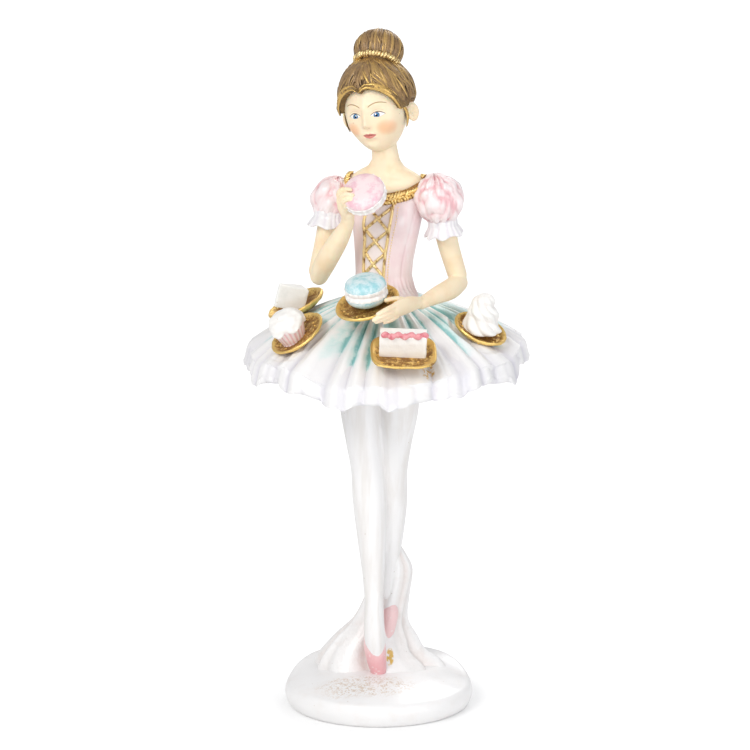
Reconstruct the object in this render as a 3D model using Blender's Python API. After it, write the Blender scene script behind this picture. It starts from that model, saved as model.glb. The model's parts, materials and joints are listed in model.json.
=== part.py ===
"""Ballerina figurine: a painted cast-resin dancer on a round base, cast in one piece.

Lengths below are millimetres. X is the viewer's right, -Y the front and Z up.
The origin is the centre of the flat underside of the base.
"""
import math

import bmesh
import bpy
import numpy as np
from mathutils import Matrix, Vector
from mathutils.bvhtree import BVHTree

MM = 0.001

# Driving dimensions
HEAD_CENTRE = (-0.6, 0.5, 248.6)
HEAD_TURN = (4.0, -8.0, -22.0)
TORSO_TURN = -29.0
TUTU_CENTRE = (2.8, 0.5)
TUTU_RADIUS = 56.6
TUTU_PLEATS = 30
BASE_RADIUS = 39.1
BASE_EDGE = 9.6
BASE_TOP = 14.6
CUT_DEPTH = 2.0

# Fusing of the shapes into the one casting
VOXEL = 0.55
TRIANGLES = 9600


def unit(vector):
    vector = np.asarray(vector, float)
    return vector / np.linalg.norm(vector, axis=-1, keepdims=True)


def spline(knots, t):
    """Points at t, from 0 to 1, on the smooth curve through the knots."""
    knots = np.asarray(knots, float)
    flat = knots.ndim == 1
    if flat:
        knots = knots[:, None]
    ends = np.vstack([2 * knots[:1] - knots[1:2], knots, 2 * knots[-1:] - knots[-2:-1]])
    s = np.clip(np.asarray(t, float), 0, 1) * (len(knots) - 1)
    i = np.minimum(s.astype(int), len(knots) - 2)
    f = (s - i)[:, None]
    p0, p1, p2, p3 = ends[i], ends[i + 1], ends[i + 2], ends[i + 3]
    out = 0.5 * (2 * p1 + (p2 - p0) * f + (2 * p0 - 5 * p1 + 4 * p2 - p3) * f**2
                 + (3 * p1 - p0 - 3 * p2 + p3) * f**3)
    return out[:, 0] if flat else out


def step(low, high, x):
    t = np.clip((x - low) / (high - low), 0, 1)
    return t * t * (3 - 2 * t)


def bell(x, centre, width):
    return np.exp(-(((x - centre) / width) ** 2))


def turned(angles_deg):
    """A rotation matrix from angles about X, then Y, then Z."""
    x, y, z = (math.radians(a) for a in angles_deg)
    return np.array(Matrix.Rotation(z, 3, "Z") @ Matrix.Rotation(y, 3, "Y") @ Matrix.Rotation(x, 3, "X"))


def facing(normal, spin_deg=0.0):
    """A rotation matrix whose Z column is the normal, with X kept level before the spin."""
    z = unit(normal)
    x = unit(np.cross((0, 1, 0), z))
    frame = np.column_stack([x, np.cross(z, x), z])
    return frame @ turned((0, 0, spin_deg))


def placed(points, centre, frame=None):
    points = points if frame is None else points @ np.asarray(frame).T
    return points + np.asarray(centre, float)


class Casting:
    """The closed shapes of the figurine, kept until they are fused, and the paint of each."""

    def __init__(self):
        self.mesh = bmesh.new()
        self.paints = []

    def add(self, bm, paint):
        if paint not in self.paints:
            self.paints.append(paint)
        index = self.paints.index(paint)
        bmesh.ops.recalc_face_normals(bm, faces=bm.faces)
        for face in bm.faces:
            face.material_index = index
        piece = bpy.data.meshes.new("piece")
        bm.to_mesh(piece)
        self.mesh.from_mesh(piece)
        bpy.data.meshes.remove(piece)
        bm.free()

    def form(self, paint, shape, around=48, along=32):
        """A sheet of faces bent by shape(u, v) into a closed form: u runs round it, v from pole to pole."""
        bm = bmesh.new()
        bmesh.ops.create_grid(bm, x_segments=around, y_segments=along, size=0.5)
        uv = np.array([vert.co for vert in bm.verts])[:, :2] + 0.5
        for vert, point in zip(bm.verts, shape(uv[:, 0], uv[:, 1])):
            vert.co = point
        bmesh.ops.remove_doubles(bm, verts=bm.verts, dist=1e-4)
        self.add(bm, paint)

    def ball(self, paint, shape, subdivisions=4):
        """An icosphere whose unit points are moved by shape(points)."""
        bm = bmesh.new()
        bmesh.ops.create_icosphere(bm, subdivisions=subdivisions, radius=1)
        for vert, point in zip(bm.verts, shape(np.array([vert.co for vert in bm.verts]))):
            vert.co = point
        self.add(bm, paint)

    def block(self, paint, size, centre, frame, bevel=0.4, taper=0.0):
        bm = bmesh.new()
        bmesh.ops.create_cube(bm, size=1)
        for vert in bm.verts:
            vert.co.y *= 1 - taper * (0.5 - vert.co.x)
        bmesh.ops.scale(bm, verts=bm.verts, vec=size)
        bmesh.ops.bevel(bm, geom=bm.edges[:], offset=bevel, segments=2, affect="EDGES", profile=0.5,
                        material=-1)
        move = Matrix.Translation(centre) @ Matrix([list(row) for row in frame]).to_4x4()
        bmesh.ops.transform(bm, verts=bm.verts, matrix=move)
        self.add(bm, paint)


def limb(path, radii, flat=1.0, side=(1, 0, 0)):
    """The shape of a round-ended limb along the path. flat is its depth over its width."""
    t = np.linspace(0, 1, 49)
    centre, radius = spline(path, t), spline(radii, t)
    depth = spline(flat, t) if np.ndim(flat) else np.full(len(t), flat)
    tangent = unit(np.gradient(centre, axis=0))
    turn = np.linspace(0, math.pi / 2, 9)
    out, back = np.cos(turn), np.sin(turn)
    head = centre[0] - tangent[0] * radius[0] * back[::-1, None]
    tail = centre[-1] + tangent[-1] * radius[-1] * back[:, None]
    centre = np.vstack([head[:-1], centre, tail[1:]])
    radius = np.concatenate([radius[0] * out[::-1][:-1], radius, radius[-1] * out[1:]])
    depth = np.concatenate([np.full(8, depth[0]), depth, np.full(8, depth[-1])])
    tangent = np.vstack([np.repeat(tangent[:1], 8, 0), tangent, np.repeat(tangent[-1:], 8, 0)])
    across = unit(np.asarray(side, float) - (tangent @ np.asarray(side, float))[:, None] * tangent)
    through = np.cross(tangent, across)
    radius[0] = radius[-1] = 0
    run = np.concatenate([[0], np.cumsum(np.linalg.norm(np.diff(centre, axis=0), axis=1))])
    run /= run[-1]

    def at(values, v):
        return np.column_stack([np.interp(v, run, values[:, k]) for k in range(3)])

    def shape(u, v):
        angle = 2 * np.pi * u
        r = np.interp(v, run, radius)
        d = np.interp(v, run, depth)
        return (at(centre, v) + (r * np.cos(angle))[:, None] * at(across, v)
                + (r * d * np.sin(angle))[:, None] * at(through, v))

    return shape


def lathe(profile):
    """The shape of a turned form: profile points (radius, height) from the lower pole to the upper."""
    profile = np.asarray(profile, float)
    run = np.concatenate([[0], np.cumsum(np.linalg.norm(np.diff(profile, axis=0), axis=1))])
    run /= run[-1]

    def shape(u, v):
        angle = 2 * np.pi * u
        r, z = np.interp(v, run, profile[:, 0]), np.interp(v, run, profile[:, 1])
        return np.column_stack([r * np.cos(angle), r * np.sin(angle), z])

    return shape


def base_rise(points):
    """The top's edge climbs towards the back, where the drapery spreads over it."""
    share = np.hypot(points[:, 0], points[:, 1]) / BASE_RADIUS
    return 5.2 * step(2, 30, points[:, 1]) * share**2 * step(3.0, 9.0, points[:, 2])


def base(casting):
    """The round base: a rolled edge under a low dome."""
    edge = [(0, -CUT_DEPTH), (BASE_RADIUS - 4.5, -CUT_DEPTH), (BASE_RADIUS - 2.6, 0),
            (BASE_RADIUS - 0.8, 2.0), (BASE_RADIUS, 5.0), (BASE_RADIUS - 0.4, 7.8),
            (BASE_RADIUS - 1.6, BASE_EDGE), (BASE_RADIUS - 2.6, BASE_EDGE + 0.3)]
    reach = edge[-1][0]
    dome = [(reach * k, edge[-1][1] + (BASE_TOP - edge[-1][1]) * (1 - k**2.2)) for k in np.linspace(0.97, 0,
                                                                                                    16)]
    turned_base = lathe(edge + dome)

    def shape(u, v):
        points = turned_base(u, v)
        points[:, 2] += base_rise(points)
        return points

    casting.form("pearl_white", shape, around=96, along=80)


# The drapery behind the legs: height, centre x and y, half-width, half-depth
DRAPERY = ((8.0, 0.0, 10.0, 27.0, 19.0), (14.5, -1.0, 10.5, 24.5, 17.0), (20.0, -2.8, 10.5, 19.5, 14.0),
           (26.0, -1.8, 10.5, 15.6, 11.5), (33.0, 0.2, 11.0, 10.8, 9.5), (43.0, 3.2, 11.0, 9.0, 8.0),
           (54.0, 5.6, 10.5, 8.2, 6.6), (61.0, 5.6, 9.5, 5.6, 5.2), (67.0, 5.0, 8.5, 2.6, 3.0))
DRAPERY_FOLDS = ((5, 0.4, 1.0), (9, 2.1, 0.75), (14, 4.0, 0.3))


def drapery(casting):
    """Cloth that flows up from the base behind the legs and carries them."""
    rows = np.array(DRAPERY)
    height = rows[:, 0]

    def shape(u, v):
        level = np.clip((v - 0.06) / 0.88, 0, 1)
        z = spline(height, level)
        x, y, a, b = (spline(rows[:, k], level) for k in range(1, 5))
        angle = 2 * np.pi * u
        grow = 0.35 + 0.65 * step(60, 14, z)
        fold = sum(size * np.sin(count * angle + phase + 0.035 * z * (1 if count == 5 else -1))
                   for count, phase, size in DRAPERY_FOLDS)
        shut = np.minimum(step(0, 0.05, v), step(1, 0.95, v))
        r = 1 + 0.085 * fold * grow
        return np.column_stack([x + shut * a * r * np.cos(angle), y + shut * b * r * np.sin(angle), z])

    casting.form("pearl_white", shape, around=120, along=60)


def legs(casting):
    """The legs in white tights, crossed on pointe, and the shoes."""
    front = ((-8.2, 1.0, 150.0), (-8.1, 0.5, 138.0), (-8.0, 0.0, 125.0), (-6.4, -1.2, 112.0), (-4.9, -2.0,
                                                                                               100.0),
             (-4.0, -1.6, 87.0), (-2.9, -1.8, 70.0), (-2.3, -3.2, 56.0), (-2.0, -4.4, 44.0))
    casting.form("pearl_white", limb(front, (9.6, 8.9, 7.9, 7.2, 6.6, 6.8, 5.9, 4.6, 3.9), 1.06), 48, 72)
    back = ((8.4, 1.5, 150.0), (8.3, 1.5, 138.0), (8.2, 2.0, 124.0), (6.6, 3.0, 111.0), (5.4, 4.0, 98.0),
            (5.0, 6.2, 84.5), (4.3, 7.2, 71.0), (3.6, 7.2, 58.0), (3.0, 6.6, 45.0))
    casting.form("pearl_white", limb(back, (9.6, 8.9, 8.0, 7.1, 6.4, 6.7, 6.0, 4.7, 3.8), 1.06), 48, 72)
    # feet on pointe: instep, then the shoe's vamp down to its blocked toe
    casting.form("pearl_white", limb(((-2.0, -4.2, 47.0), (-2.0, -5.4, 38.0), (-1.7, -6.4, 29.0),
                                      (-1.0, -6.4, 21.0)),
                                     (3.8, 4.2, 4.3, 3.7), 1.25), 40, 32)
    casting.form("pink_shoe", limb(((-2.0, -5.4, 29.5), (-1.6, -6.2, 25.0), (-0.9, -6.6, 19.6), (-0.2, -6.3,
                                                                                                 15.6)),
                                   (4.1, 4.5, 4.0, 3.4), 1.1), 40, 28)
    casting.form("pink_shoe", limb(((-2.0, -1.2, 40.0), (-1.8, -2.6, 33.0), (-1.5, -4.4, 26.0)),
                                   (2.6, 3.0, 3.2), 1.1), 32, 20)
    casting.form("pink_shoe", limb(((4.6, 5.4, 41.0), (4.6, 5.0, 37.2), (3.9, 3.8, 32.0), (2.9, 2.6, 27.0),
                                    (2.2, 1.8, 23.0)),
                                   (2.5, 3.6, 3.3, 2.9, 2.4), 1.15), 40, 32)


# Shape of the tutu's top, from waist to rim: share of the radius, height
TUTU_TOP = ((0.0, 177.0), (0.16, 175.6), (0.24, 172.4), (0.34, 170.0), (0.48, 167.0), (0.64, 163.2),
            (0.80, 158.8),
            (0.92, 155.0), (1.0, 152.0))


def tutu_top(share, angle):
    """Height of the pleated top layer at a share of the radius, and the pleat's height there."""
    rows = np.array(TUTU_TOP)
    front = np.clip(-np.sin(angle), 0, 1)
    drop = (6.2 * front**1.5 - 1.5 * np.cos(angle)) * np.clip(share, 0, 1) ** 2
    sway = 1.3 * np.sin(5 * angle + 0.6) + 0.9 * np.sin(8 * angle + 2.2)
    slow = angle + 0.05 * np.sin(7 * angle) + 0.03 * np.sin(11 * angle + 1) + 0.012 * np.sin(17 * angle + 2)
    wave = np.abs(np.sin(slow * TUTU_PLEATS / 2)) ** 0.8
    pleat = (0.5 + 1.8 * np.clip(share, 0, 1)) * step(0.16, 0.5, share) * (wave - 0.6)
    z = np.interp(share, rows[:, 0], rows[:, 1]) - drop + sway * np.clip(share, 0, 1) ** 3
    return z + pleat, pleat


def tutu(casting):
    """The tutu: a pleated top layer, and a ruffled frill under its rim."""

    def top(u, v):
        angle = 2 * np.pi * u
        over, under = np.clip(v / 0.62, 0, 1), np.clip((1 - v) / 0.38, 0, 1)
        share = np.where(v < 0.62, over, under)
        z, pleat = tutu_top(share, angle)
        rim = 1 + 0.018 * pleat * share
        floor = 145.0 + (z - 145.0 - 3.4) * step(0.72, 1, share)
        r = TUTU_RADIUS * share * rim
        return np.column_stack([TUTU_CENTRE[0] + r * np.cos(angle), TUTU_CENTRE[1] + r * np.sin(angle),
                                np.where(v < 0.62, z, np.minimum(floor, z - 1.7))])

    casting.form("aqua_white", top, around=360, along=64)

    def frill(u, v):
        angle = 2 * np.pi * u
        over, under = np.clip(v / 0.6, 0, 1), np.clip((1 - v) / 0.4, 0, 1)
        share = 1 - (1 - np.where(v < 0.6, over, under)) ** 1.6
        rim_z = tutu_top(np.ones_like(angle), angle)[0] - tutu_top(np.ones_like(angle), angle)[1]
        wave = np.sin(14 * angle + 1.2 * np.sin(3 * angle) + 0.7 * np.sin(5 * angle + 1))
        out, hang = step(0.6, 1, share), step(0.975, 1, share)
        ruffle = 0.020 * np.cos(14 * angle + 1.2 * np.sin(3 * angle) + 1.2)
        r = (TUTU_RADIUS + 1.2) * share * (1 + ruffle * out)
        drop = 4.6 + 0.6 * np.clip(-np.sin(angle), 0, 1)
        above = 143.5 + (rim_z - 1.0 - 143.5) * step(0.3, 0.85, share) - drop * hang
        below = 143.5 + (rim_z - 8.0 - 143.5) * step(0.3, 1, share)
        z = np.where(v < 0.6, above, np.minimum(below, above - 1.8 * (1 - hang))) + 1.4 * wave * hang
        return np.column_stack([TUTU_CENTRE[0] + r * np.cos(angle), TUTU_CENTRE[1] + r * np.sin(angle), z])

    casting.form("pearl_white", frill, around=300, along=40)


# The body: height, centre x and y, half-width, half-depth
TORSO = ((160.0, 2.4, 0.5, 15.5, 13.5), (166.0, 2.5, 0.4, 14.4, 12.4), (172.0, 2.4, 0.2, 13.8, 11.0),
         (176.0, 2.1, 0.0, 12.4, 9.9), (181.0, 2.0, 0.0, 11.7, 9.2), (187.0, 2.2, 0.0, 12.1, 9.2),
         (194.0, 2.6, 0.0, 13.0, 9.5), (201.0, 3.0, 0.0, 14.0, 9.7), (208.0, 3.4, 0.3, 15.0, 9.1),
         (214.0, 3.7, 0.6, 16.4, 8.4), (218.5, 3.6, 0.9, 17.0, 7.6), (221.0, 3.5, 1.0, 15.8, 6.8),
         (223.2, 3.2, 1.0, 12.2, 6.3), (225.2, 3.0, 0.9, 8.3, 6.0), (228.0, 2.8, 0.6, 6.4, 5.8),
         (233.0, 2.2, 0.2, 5.8, 5.8), (241.0, 1.0, 0.8, 6.0, 6.4))
BUST_HEIGHT = 204.0


def torso_point(phi, z, proud=0.0):
    """A point of the body at phi round from the front, and at height z, this far proud of the skin."""
    rows = np.array(TORSO)
    x0, y0, a, b = (np.interp(z, rows[:, 0], rows[:, k]) for k in range(1, 5))
    bust = sum(1.9 * bell(phi, side * 0.52, 0.36) * bell(z, BUST_HEIGHT, 5.0) for side in (-1, 1))
    x, y = (a + proud + bust) * np.sin(phi), -(b + proud + bust) * np.cos(phi)
    turn = math.radians(TORSO_TURN) * step(164, 180, z) + math.radians(9) * step(182, 212, z)
    return np.column_stack([x0 + x * np.cos(turn) - y * np.sin(turn), y0 + x * np.sin(turn) + y
                            * np.cos(turn), z])


def neckline(phi):
    rise = 8.6 * np.abs(np.sin(phi)) ** 3 + 2.6 * (1 - np.cos(phi)) / 2
    return 211.0 + rise + 2.8 * bell(phi, 0.35, 0.65)


def body(casting):
    """The bodice, and the skin of the shoulders and neck that shows above it."""

    def skin(u, v):
        phi = 2 * np.pi * (u - 0.5)
        z = 200 + 40 * np.clip((v - 0.04) / 0.92, 0, 1)
        shut = np.minimum(step(0, 0.03, v), step(1, 0.97, v))[:, None]
        return torso_point(phi, z, -0.7) * shut + torso_point(phi * 0, z, -9) * (1 - shut)

    def bodice(u, v):
        phi = 2 * np.pi * (u - 0.5)
        top = neckline(phi)
        z = 160 + (top - 160) * np.clip((v - 0.05) / 0.85, 0, 1)
        shut = np.minimum(step(0, 0.04, v), step(1, 0.91, v))[:, None]
        middle = np.array([3.4, 0.6, 0]) + np.column_stack([z * 0, z * 0, z - 2 * step(0.9, 1, v)])
        return torso_point(phi, z, 0.3) * shut + middle * (1 - shut)

    casting.form("skin", skin, around=72, along=56)
    casting.form("pink_satin", bodice, around=72, along=64)

    turns = np.linspace(-math.pi, math.pi, 97)
    edge = torso_point(turns, neckline(turns), 0.7)
    lumps = 2.1 + 0.3 * np.sin(turns * 23) + 0.2 * np.sin(turns * 41)
    casting.form("gold", limb(edge, lumps, 0.7, (0, 0, 1)), around=20, along=200)




def panel_edge(z):
    """Half the front panel's angle at height z."""
    return np.radians(np.interp(z, (176, 211), (22.0, 18.5)))


def lacing(casting):
    """Gold piping down both sides of the front panel, and the crossed laces between."""
    low, high = 172.4, 210.0
    for side in (-1, 1):
        z = np.linspace(low + 3, high + 3, 14)
        casting.form("gold", limb(torso_point(side * (panel_edge(z) + 0.02), z, 0.5), np.full(14, 0.55)),
                     10, 40)
    crosses = 4
    pitch = (high - low) / crosses
    for k in range(crosses):
        for side in (-1, 1):
            t = np.linspace(0, 1, 9)
            phi = side * panel_edge(low + pitch * (k + t)) * (2 * t - 1)
            path = torso_point(phi, low + pitch * (k + t), 0.45 + 0.25 * np.sin(np.pi * t))
            casting.form("gold", limb(path, np.full(9, 0.6)), 10, 24)


SLEEVES = {
    "viewer_left": dict(puff=(-18.8, 6.2, 210.4), size=(8.7, 8.9, 9.7), lean=(-8.0, 14.0, 0.0),
                        cuff=(-20.4, 3.6, 204.4), cuff_axis=(-0.12, -0.08, -0.99), cuff_radius=6.4),
    "viewer_right": dict(puff=(24.2, -7.5, 213.0), size=(10.0, 9.8, 10.4), lean=(6.0, -12.0, 0.0),
                         cuff=(25.8, -7.0, 203.0), cuff_axis=(0.12, 0.1, -0.98), cuff_radius=7.0),
}


def sleeve(casting, puff, size, lean, cuff, cuff_axis, cuff_radius):
    """A puffed sleeve gathered at the shoulder and the arm, and its frilled cuff."""

    def shape(u, v):
        polar, angle = np.pi * v, 2 * np.pi * u
        out = np.sin(polar)
        fold = 0.55 * np.abs(np.sin(4.5 * angle + 1.7 * v)) + 0.35 * np.sin(7 * angle - 3 * v + 1)
        r = 1 + 0.10 * fold * (0.35 + 0.65 * np.abs(np.cos(polar)))
        points = np.column_stack([out * np.cos(angle) * size[0], out * np.sin(angle) * size[1],
                                  np.cos(polar) * size[2]])
        return placed(points * r[:, None], puff, turned(lean))

    casting.form("pink_satin", shape, around=72, along=44)

    axis = unit(cuff_axis)
    frame = facing(axis)

    def frilled(u, v):
        angle = 2 * np.pi * u
        along = spline((-2.4, -2.4, 0.4, 3.0, 4.7, 4.9, 3.8, 3.8), v)
        radius = spline((0.0, 0.80, 0.86, 1.04, 1.14, 1.02, 0.6, 0.0), v) * cuff_radius
        radius[v <= 0] = radius[v >= 1] = 0
        wave = np.sin(9 * angle) * step(0.2, 0.6, v) * step(1, 0.75, v)
        radius = radius * (1 + 0.09 * wave)
        return placed(np.column_stack([radius * np.cos(angle), radius * np.sin(angle), along + 0.5 * wave]),
                      cuff, frame)

    casting.form("pearl_white", frilled, around=90, along=28)


ARMS = {
    "raised": dict(upper=((-19.0, 5.5, 208.0), (-21.4, 2.5, 195.0), (-24.4, -0.5, 182.5)),
                   upper_radius=(4.7, 4.5, 4.1),
                   lower=((-24.3, -1.4, 180.4), (-21.4, -6.8, 187.5), (-16.3, -12.8, 197.0), (-12.8, -17.6,
                                                                                              204.6),
                          (-12.5, -20.2, 209.4)),
                   lower_radius=(3.7, 4.4, 3.9, 2.8, 2.7)),
    "serving": dict(upper=((25.6, -6.5, 207.0), (27.8, -4.5, 195.0), (31.8, -1.5, 181.0)),
                    upper_radius=(4.8, 4.3, 3.9),
                    lower=((32.2, -2.2, 177.8), (28.6, -9.5, 176.4), (23.0, -17.8, 175.4), (16.8, -26.0,
                                                                                            173.8)),
                    lower_radius=(3.9, 4.2, 3.5, 2.3)),
}


def arm(casting, upper, upper_radius, lower, lower_radius):
    casting.form("skin", limb(upper, upper_radius, 1.0, (1, 0, 0)), 36, 40)
    casting.form("skin", limb(lower, lower_radius, 1.0, (0, 1, 0)), 36, 44)


# Each hand: the palm's path and radii, then each finger's path and radius
HANDS = {
    "raised": dict(palm=((-12.6, -20.0, 208.8), (-13.7, -22.0, 212.6), (-14.4, -23.6, 215.6)),
                   palm_radius=(2.9, 3.4, 3.2), palm_flat=0.72, palm_side=(0.55, 0.75, 0.3),
                   fingers=(((-15.4, -24.4, 215.2), (-16.0, -25.8, 218.2), (-14.4, -27.0, 220.1),
                             (-11.4, -26.8, 219.9)),
                            ((-14.8, -24.7, 214.1), (-15.1, -26.7, 216.8), (-13.3, -28.4, 218.4),
                             (-10.5, -28.4, 218.0)),
                            ((-13.9, -24.8, 213.0), (-14.0, -27.0, 215.1), (-12.4, -28.5, 216.4),
                             (-10.2, -28.6, 216.0)),
                            ((-12.8, -24.6, 211.8), (-12.8, -26.6, 213.4), (-11.6, -28.0, 214.4),
                             (-10.2, -28.2, 214.2)),
                            ((-12.2, -21.4, 211.6), (-10.2, -20.6, 213.8), (-8.6, -20.4, 215.4))),
                   finger_radius=1.15),
    "serving": dict(palm=((16.0, -27.4, 174.4), (10.8, -35.7, 174.8), (6.8, -41.6, 174.4)),
                    palm_radius=(2.5, 3.7, 3.4),
                    palm_flat=0.62, palm_side=(0.3, 0.1, 0.95),
                    fingers=(((12.2, -33.6, 175.6), (8.6, -36.6, 177.6), (5.4, -38.6, 178.0), (2.8, -39.4,
                                                                                               177.6)),
                             ((6.8, -42.6, 176.2), (3.8, -46.4, 175.6), (1.2, -48.4, 174.6), (-0.4, -49.0,
                                                                                              173.8)),
                             ((6.2, -43.0, 174.5), (2.9, -46.8, 173.5), (-0.4, -48.8, 172.4), (-2.0, -49.2,
                                                                                               171.6)),
                             ((6.4, -42.4, 173.0), (3.1, -46.0, 172.0), (0.2, -47.8, 171.2), (-1.2, -48.2,
                                                                                              170.7)),
                             ((7.0, -41.2, 171.8), (4.6, -44.2, 170.7), (2.2, -45.8, 170.1))),
                    finger_radius=1.1),
}


def hand(casting, palm, palm_radius, palm_flat, palm_side, fingers, finger_radius):
    casting.form("skin", limb(palm, palm_radius, palm_flat, palm_side), 28, 24)
    for path in fingers:
        radii = np.linspace(finger_radius * 1.08, finger_radius * 0.86, len(path))
        casting.form("skin", limb(path, radii), 14, 20)


# Sculpting strokes on the face: place, spread and push in the head's own frame, and whether mirrored
FACE = (
    ((4.9, -12.6, 0.4), (3.3, 4.0, 2.3), (0, 1.5, 0), True),
    ((4.9, -12.2, 0.3), (2.0, 3.0, 1.25), (0, -1.15, 0), True),
    ((4.8, -12.8, 3.6), (4.0, 4.0, 1.6), (0, -0.55, 0), True),
    ((0, -13.6, 1.0), (1.3, 5.0, 3.6), (0, -0.9, 0), False),
    ((0, -14.4, -2.6), (1.35, 5.0, 2.6), (0, -1.7, 0), False),
    ((0, -14.8, -4.2), (1.5, 5.0, 1.15), (0, -1.2, 0), False),
    ((1.5, -14.0, -4.6), (0.8, 5.0, 0.85), (0, -0.8, 0), True),
    ((0, -13.8, -7.7), (2.5, 5.0, 0.75), (0, -0.75, 0), False),
    ((0, -13.6, -9.4), (2.0, 5.0, 0.85), (0, -0.85, 0), False),
    ((0, -13.6, -8.5), (2.7, 5.0, 0.3), (0, 0.55, 0), False),
    ((0, -13.0, -11.4), (2.6, 5.0, 1.0), (0, 0.55, 0), False),
    ((0, -12.0, -14.4), (3.3, 5.0, 2.4), (0, -1.3, -0.3), False),
    ((7.6, -9.6, -5.2), (3.6, 4.5, 3.6), (0.5, -0.7, 0), True),
    ((0, -13.0, 9.0), (8.0, 5.0, 5.0), (0, -0.5, 0), False),
)


def head_place(points):
    return placed(points, HEAD_CENTRE, turned(HEAD_TURN))


def head_form(unit_points):
    """The head in its own frame: an egg narrowing to the jaw, then the strokes of the face."""
    d = unit_points
    low = step(0.15, -1.0, d[:, 2])
    x = 13.1 * d[:, 0] * (1 - 0.15 * low)
    y = np.where(d[:, 1] > 0, 14.6 * (1 - 0.55 * low), 13.9 * (1 - 0.06 * low)) * d[:, 1]
    y = y - 1.2 * low
    points = np.column_stack([x, y, 17.4 * d[:, 2]])
    start = points.copy()
    front = step(-3, -8, start[:, 1])
    for place, spread, push, both in FACE:
        for side in ((-1, 1) if both else (1,)):
            gap = (start - np.array(place) * (side, 1, 1)) / np.array(spread)
            weight = np.exp(-(gap**2).sum(1)) * front
            points += weight[:, None] * np.array(push) * (side, 1, 1)
    return points


def ear_form(side):
    def shape(d):
        points = np.array(d) * (1.4, 3.0, 4.0)
        dish = np.exp(-((d[:, 1] / 0.55) ** 2 + ((d[:, 2] - 0.1) / 0.6) ** 2)) * (d[:, 0] > 0)
        points[:, 0] -= 1.1 * dish
        points[:, 1] *= 1 - 0.12 * step(0, -1, d[:, 2])
        points = placed(points, (0, 0, 0), turned((6, -4, -36)))
        return head_place((points + (14.4, 1.0, -2.6)) * (side, 1, 1))

    return shape


HAIR_AXIS = unit((0.0, 0.34, 0.94))
HAIR_SIZE = (15.0, 16.4, 17.4)
HAIR_MIDDLE = (0.0, 1.2, 3.4)


def hair_frame():
    x = np.array([1.0, 0, 0])
    return np.column_stack([x, np.cross(HAIR_AXIS, x), HAIR_AXIS])


def hairline(points):
    """How far a point is behind the hairline, in about millimetres: negative on the face and the nape."""
    x, y, z = points.T
    dip = 1.5 * bell(x, -1.0, 1.6)
    face = 12.0 * ((np.abs(x) / 12.6) ** 2.5 + (np.abs(z + 3.0) / (13.6 - dip)) ** 2.5 - 1)
    face = np.where(y < -1.0, face, 12.0) + 4.0 * step(-4.0, 0.0, y)
    nape = z - 2.8 + 0.9 * np.clip(y - 2.5, 0, 16) + 2.6 * step(-0.5, -3.5, y)
    return np.minimum(face, nape * 1.2)


def nape_tuck(points):
    """How far the hair draws in towards the neck above its lower edge at the back."""
    return 2.6 * step(8.0, 0.5, hairline(points)) * step(1.0, 8.0, points[:, 1])


def hair_form(u, v):
    """Hair combed from the hairline up to the bun."""
    polar, angle = np.pi * v, 2 * np.pi * u
    d = np.column_stack([np.sin(polar) * np.cos(angle), np.sin(polar) * np.sin(angle),
                         np.cos(polar)]) @ hair_frame().T
    points = d * HAIR_SIZE + HAIR_MIDDLE
    inside = hairline(points)
    cover = step(-0.6, 0.9, inside)
    locks = 0.45 * np.sin(13 * angle + 2.0 * polar) + 0.3 * np.sin(29 * angle - 1.5 * polar)
    edge = 0.7 * bell(inside, 1.6, 1.1)
    lift = cover * (0.5 + locks * step(0.25, 0.7, polar) + edge) - (1 - cover) * 4.6 - nape_tuck(points)
    return head_place(points + d * lift[:, None])


BUN_CENTRE = (1.7, 6.4, 22.2)
BUN_SIZE = (10.4, 9.7, 9.4)
BUN_AXIS = (0.05, 0.62, 0.78)


def bun_form(u, v):
    polar, angle = np.pi * v, 2 * np.pi * u
    locks = 0.3 * np.sin(17 * angle + 1.2 * polar) + 0.2 * np.sin(31 * angle)
    r = 1 + 0.04 * locks * np.sin(polar)
    points = np.column_stack([np.sin(polar) * np.cos(angle), np.sin(polar) * np.sin(angle), np.cos(polar)])
    return head_place(placed(points * np.array(BUN_SIZE) * r[:, None], BUN_CENTRE, facing(BUN_AXIS)))


def head(casting):
    casting.ball("skin", lambda d: head_place(head_form(d)), subdivisions=6)
    for side in (-1, 1):
        casting.ball("skin", ear_form(side), subdivisions=4)
    casting.form("hair", hair_form, around=200, along=100)
    casting.form("hair", bun_form, around=120, along=48)
    turns = np.linspace(0, 2 * math.pi, 49)
    ring = np.column_stack([8.5 * np.cos(turns), 8.0 * np.sin(turns), np.full(49, -5.0)])
    ring = head_place(placed(ring, BUN_CENTRE, facing(BUN_AXIS)))
    casting.form("gold", limb(ring, 1.1 + 0.2 * np.sin(turns * 12), 1.0, (0, 0, 1)), 14, 96)


def dish(casting, centre, normal, radius, depth=1.0, spin=0.0, stretch=(1, 1), power=2.0, foot=0.0):
    """A shallow gold plate with a raised rim. power squares its outline, and foot is the height of its pad."""
    frame = facing(normal, spin)
    profile = ((0.0, -foot), (0.30, -foot), (0.34, -0.4), (0.62, 0.0), (0.90, 1.3 * depth),
               (0.985, 2.1 * depth), (1.0, 2.7 * depth), (0.96, 3.2 * depth), (0.89, 2.8 * depth),
               (0.76, 1.5 * depth), (0.0, 1.3 * depth))

    def shape(u, v):
        points = lathe(profile_mm)(u, v)
        angle = 2 * np.pi * u
        square = (np.abs(np.cos(angle)) ** power + np.abs(np.sin(angle)) ** power) ** (-1 / power)
        points[:, 0] *= square * stretch[0]
        points[:, 1] *= square * stretch[1]
        return placed(points, centre, frame)

    profile_mm = [(r * radius, h) for r, h in profile]
    casting.form("gold", shape, around=64, along=40)
    return frame, np.asarray(centre) + frame[:, 2] * 1.3 * depth


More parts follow.
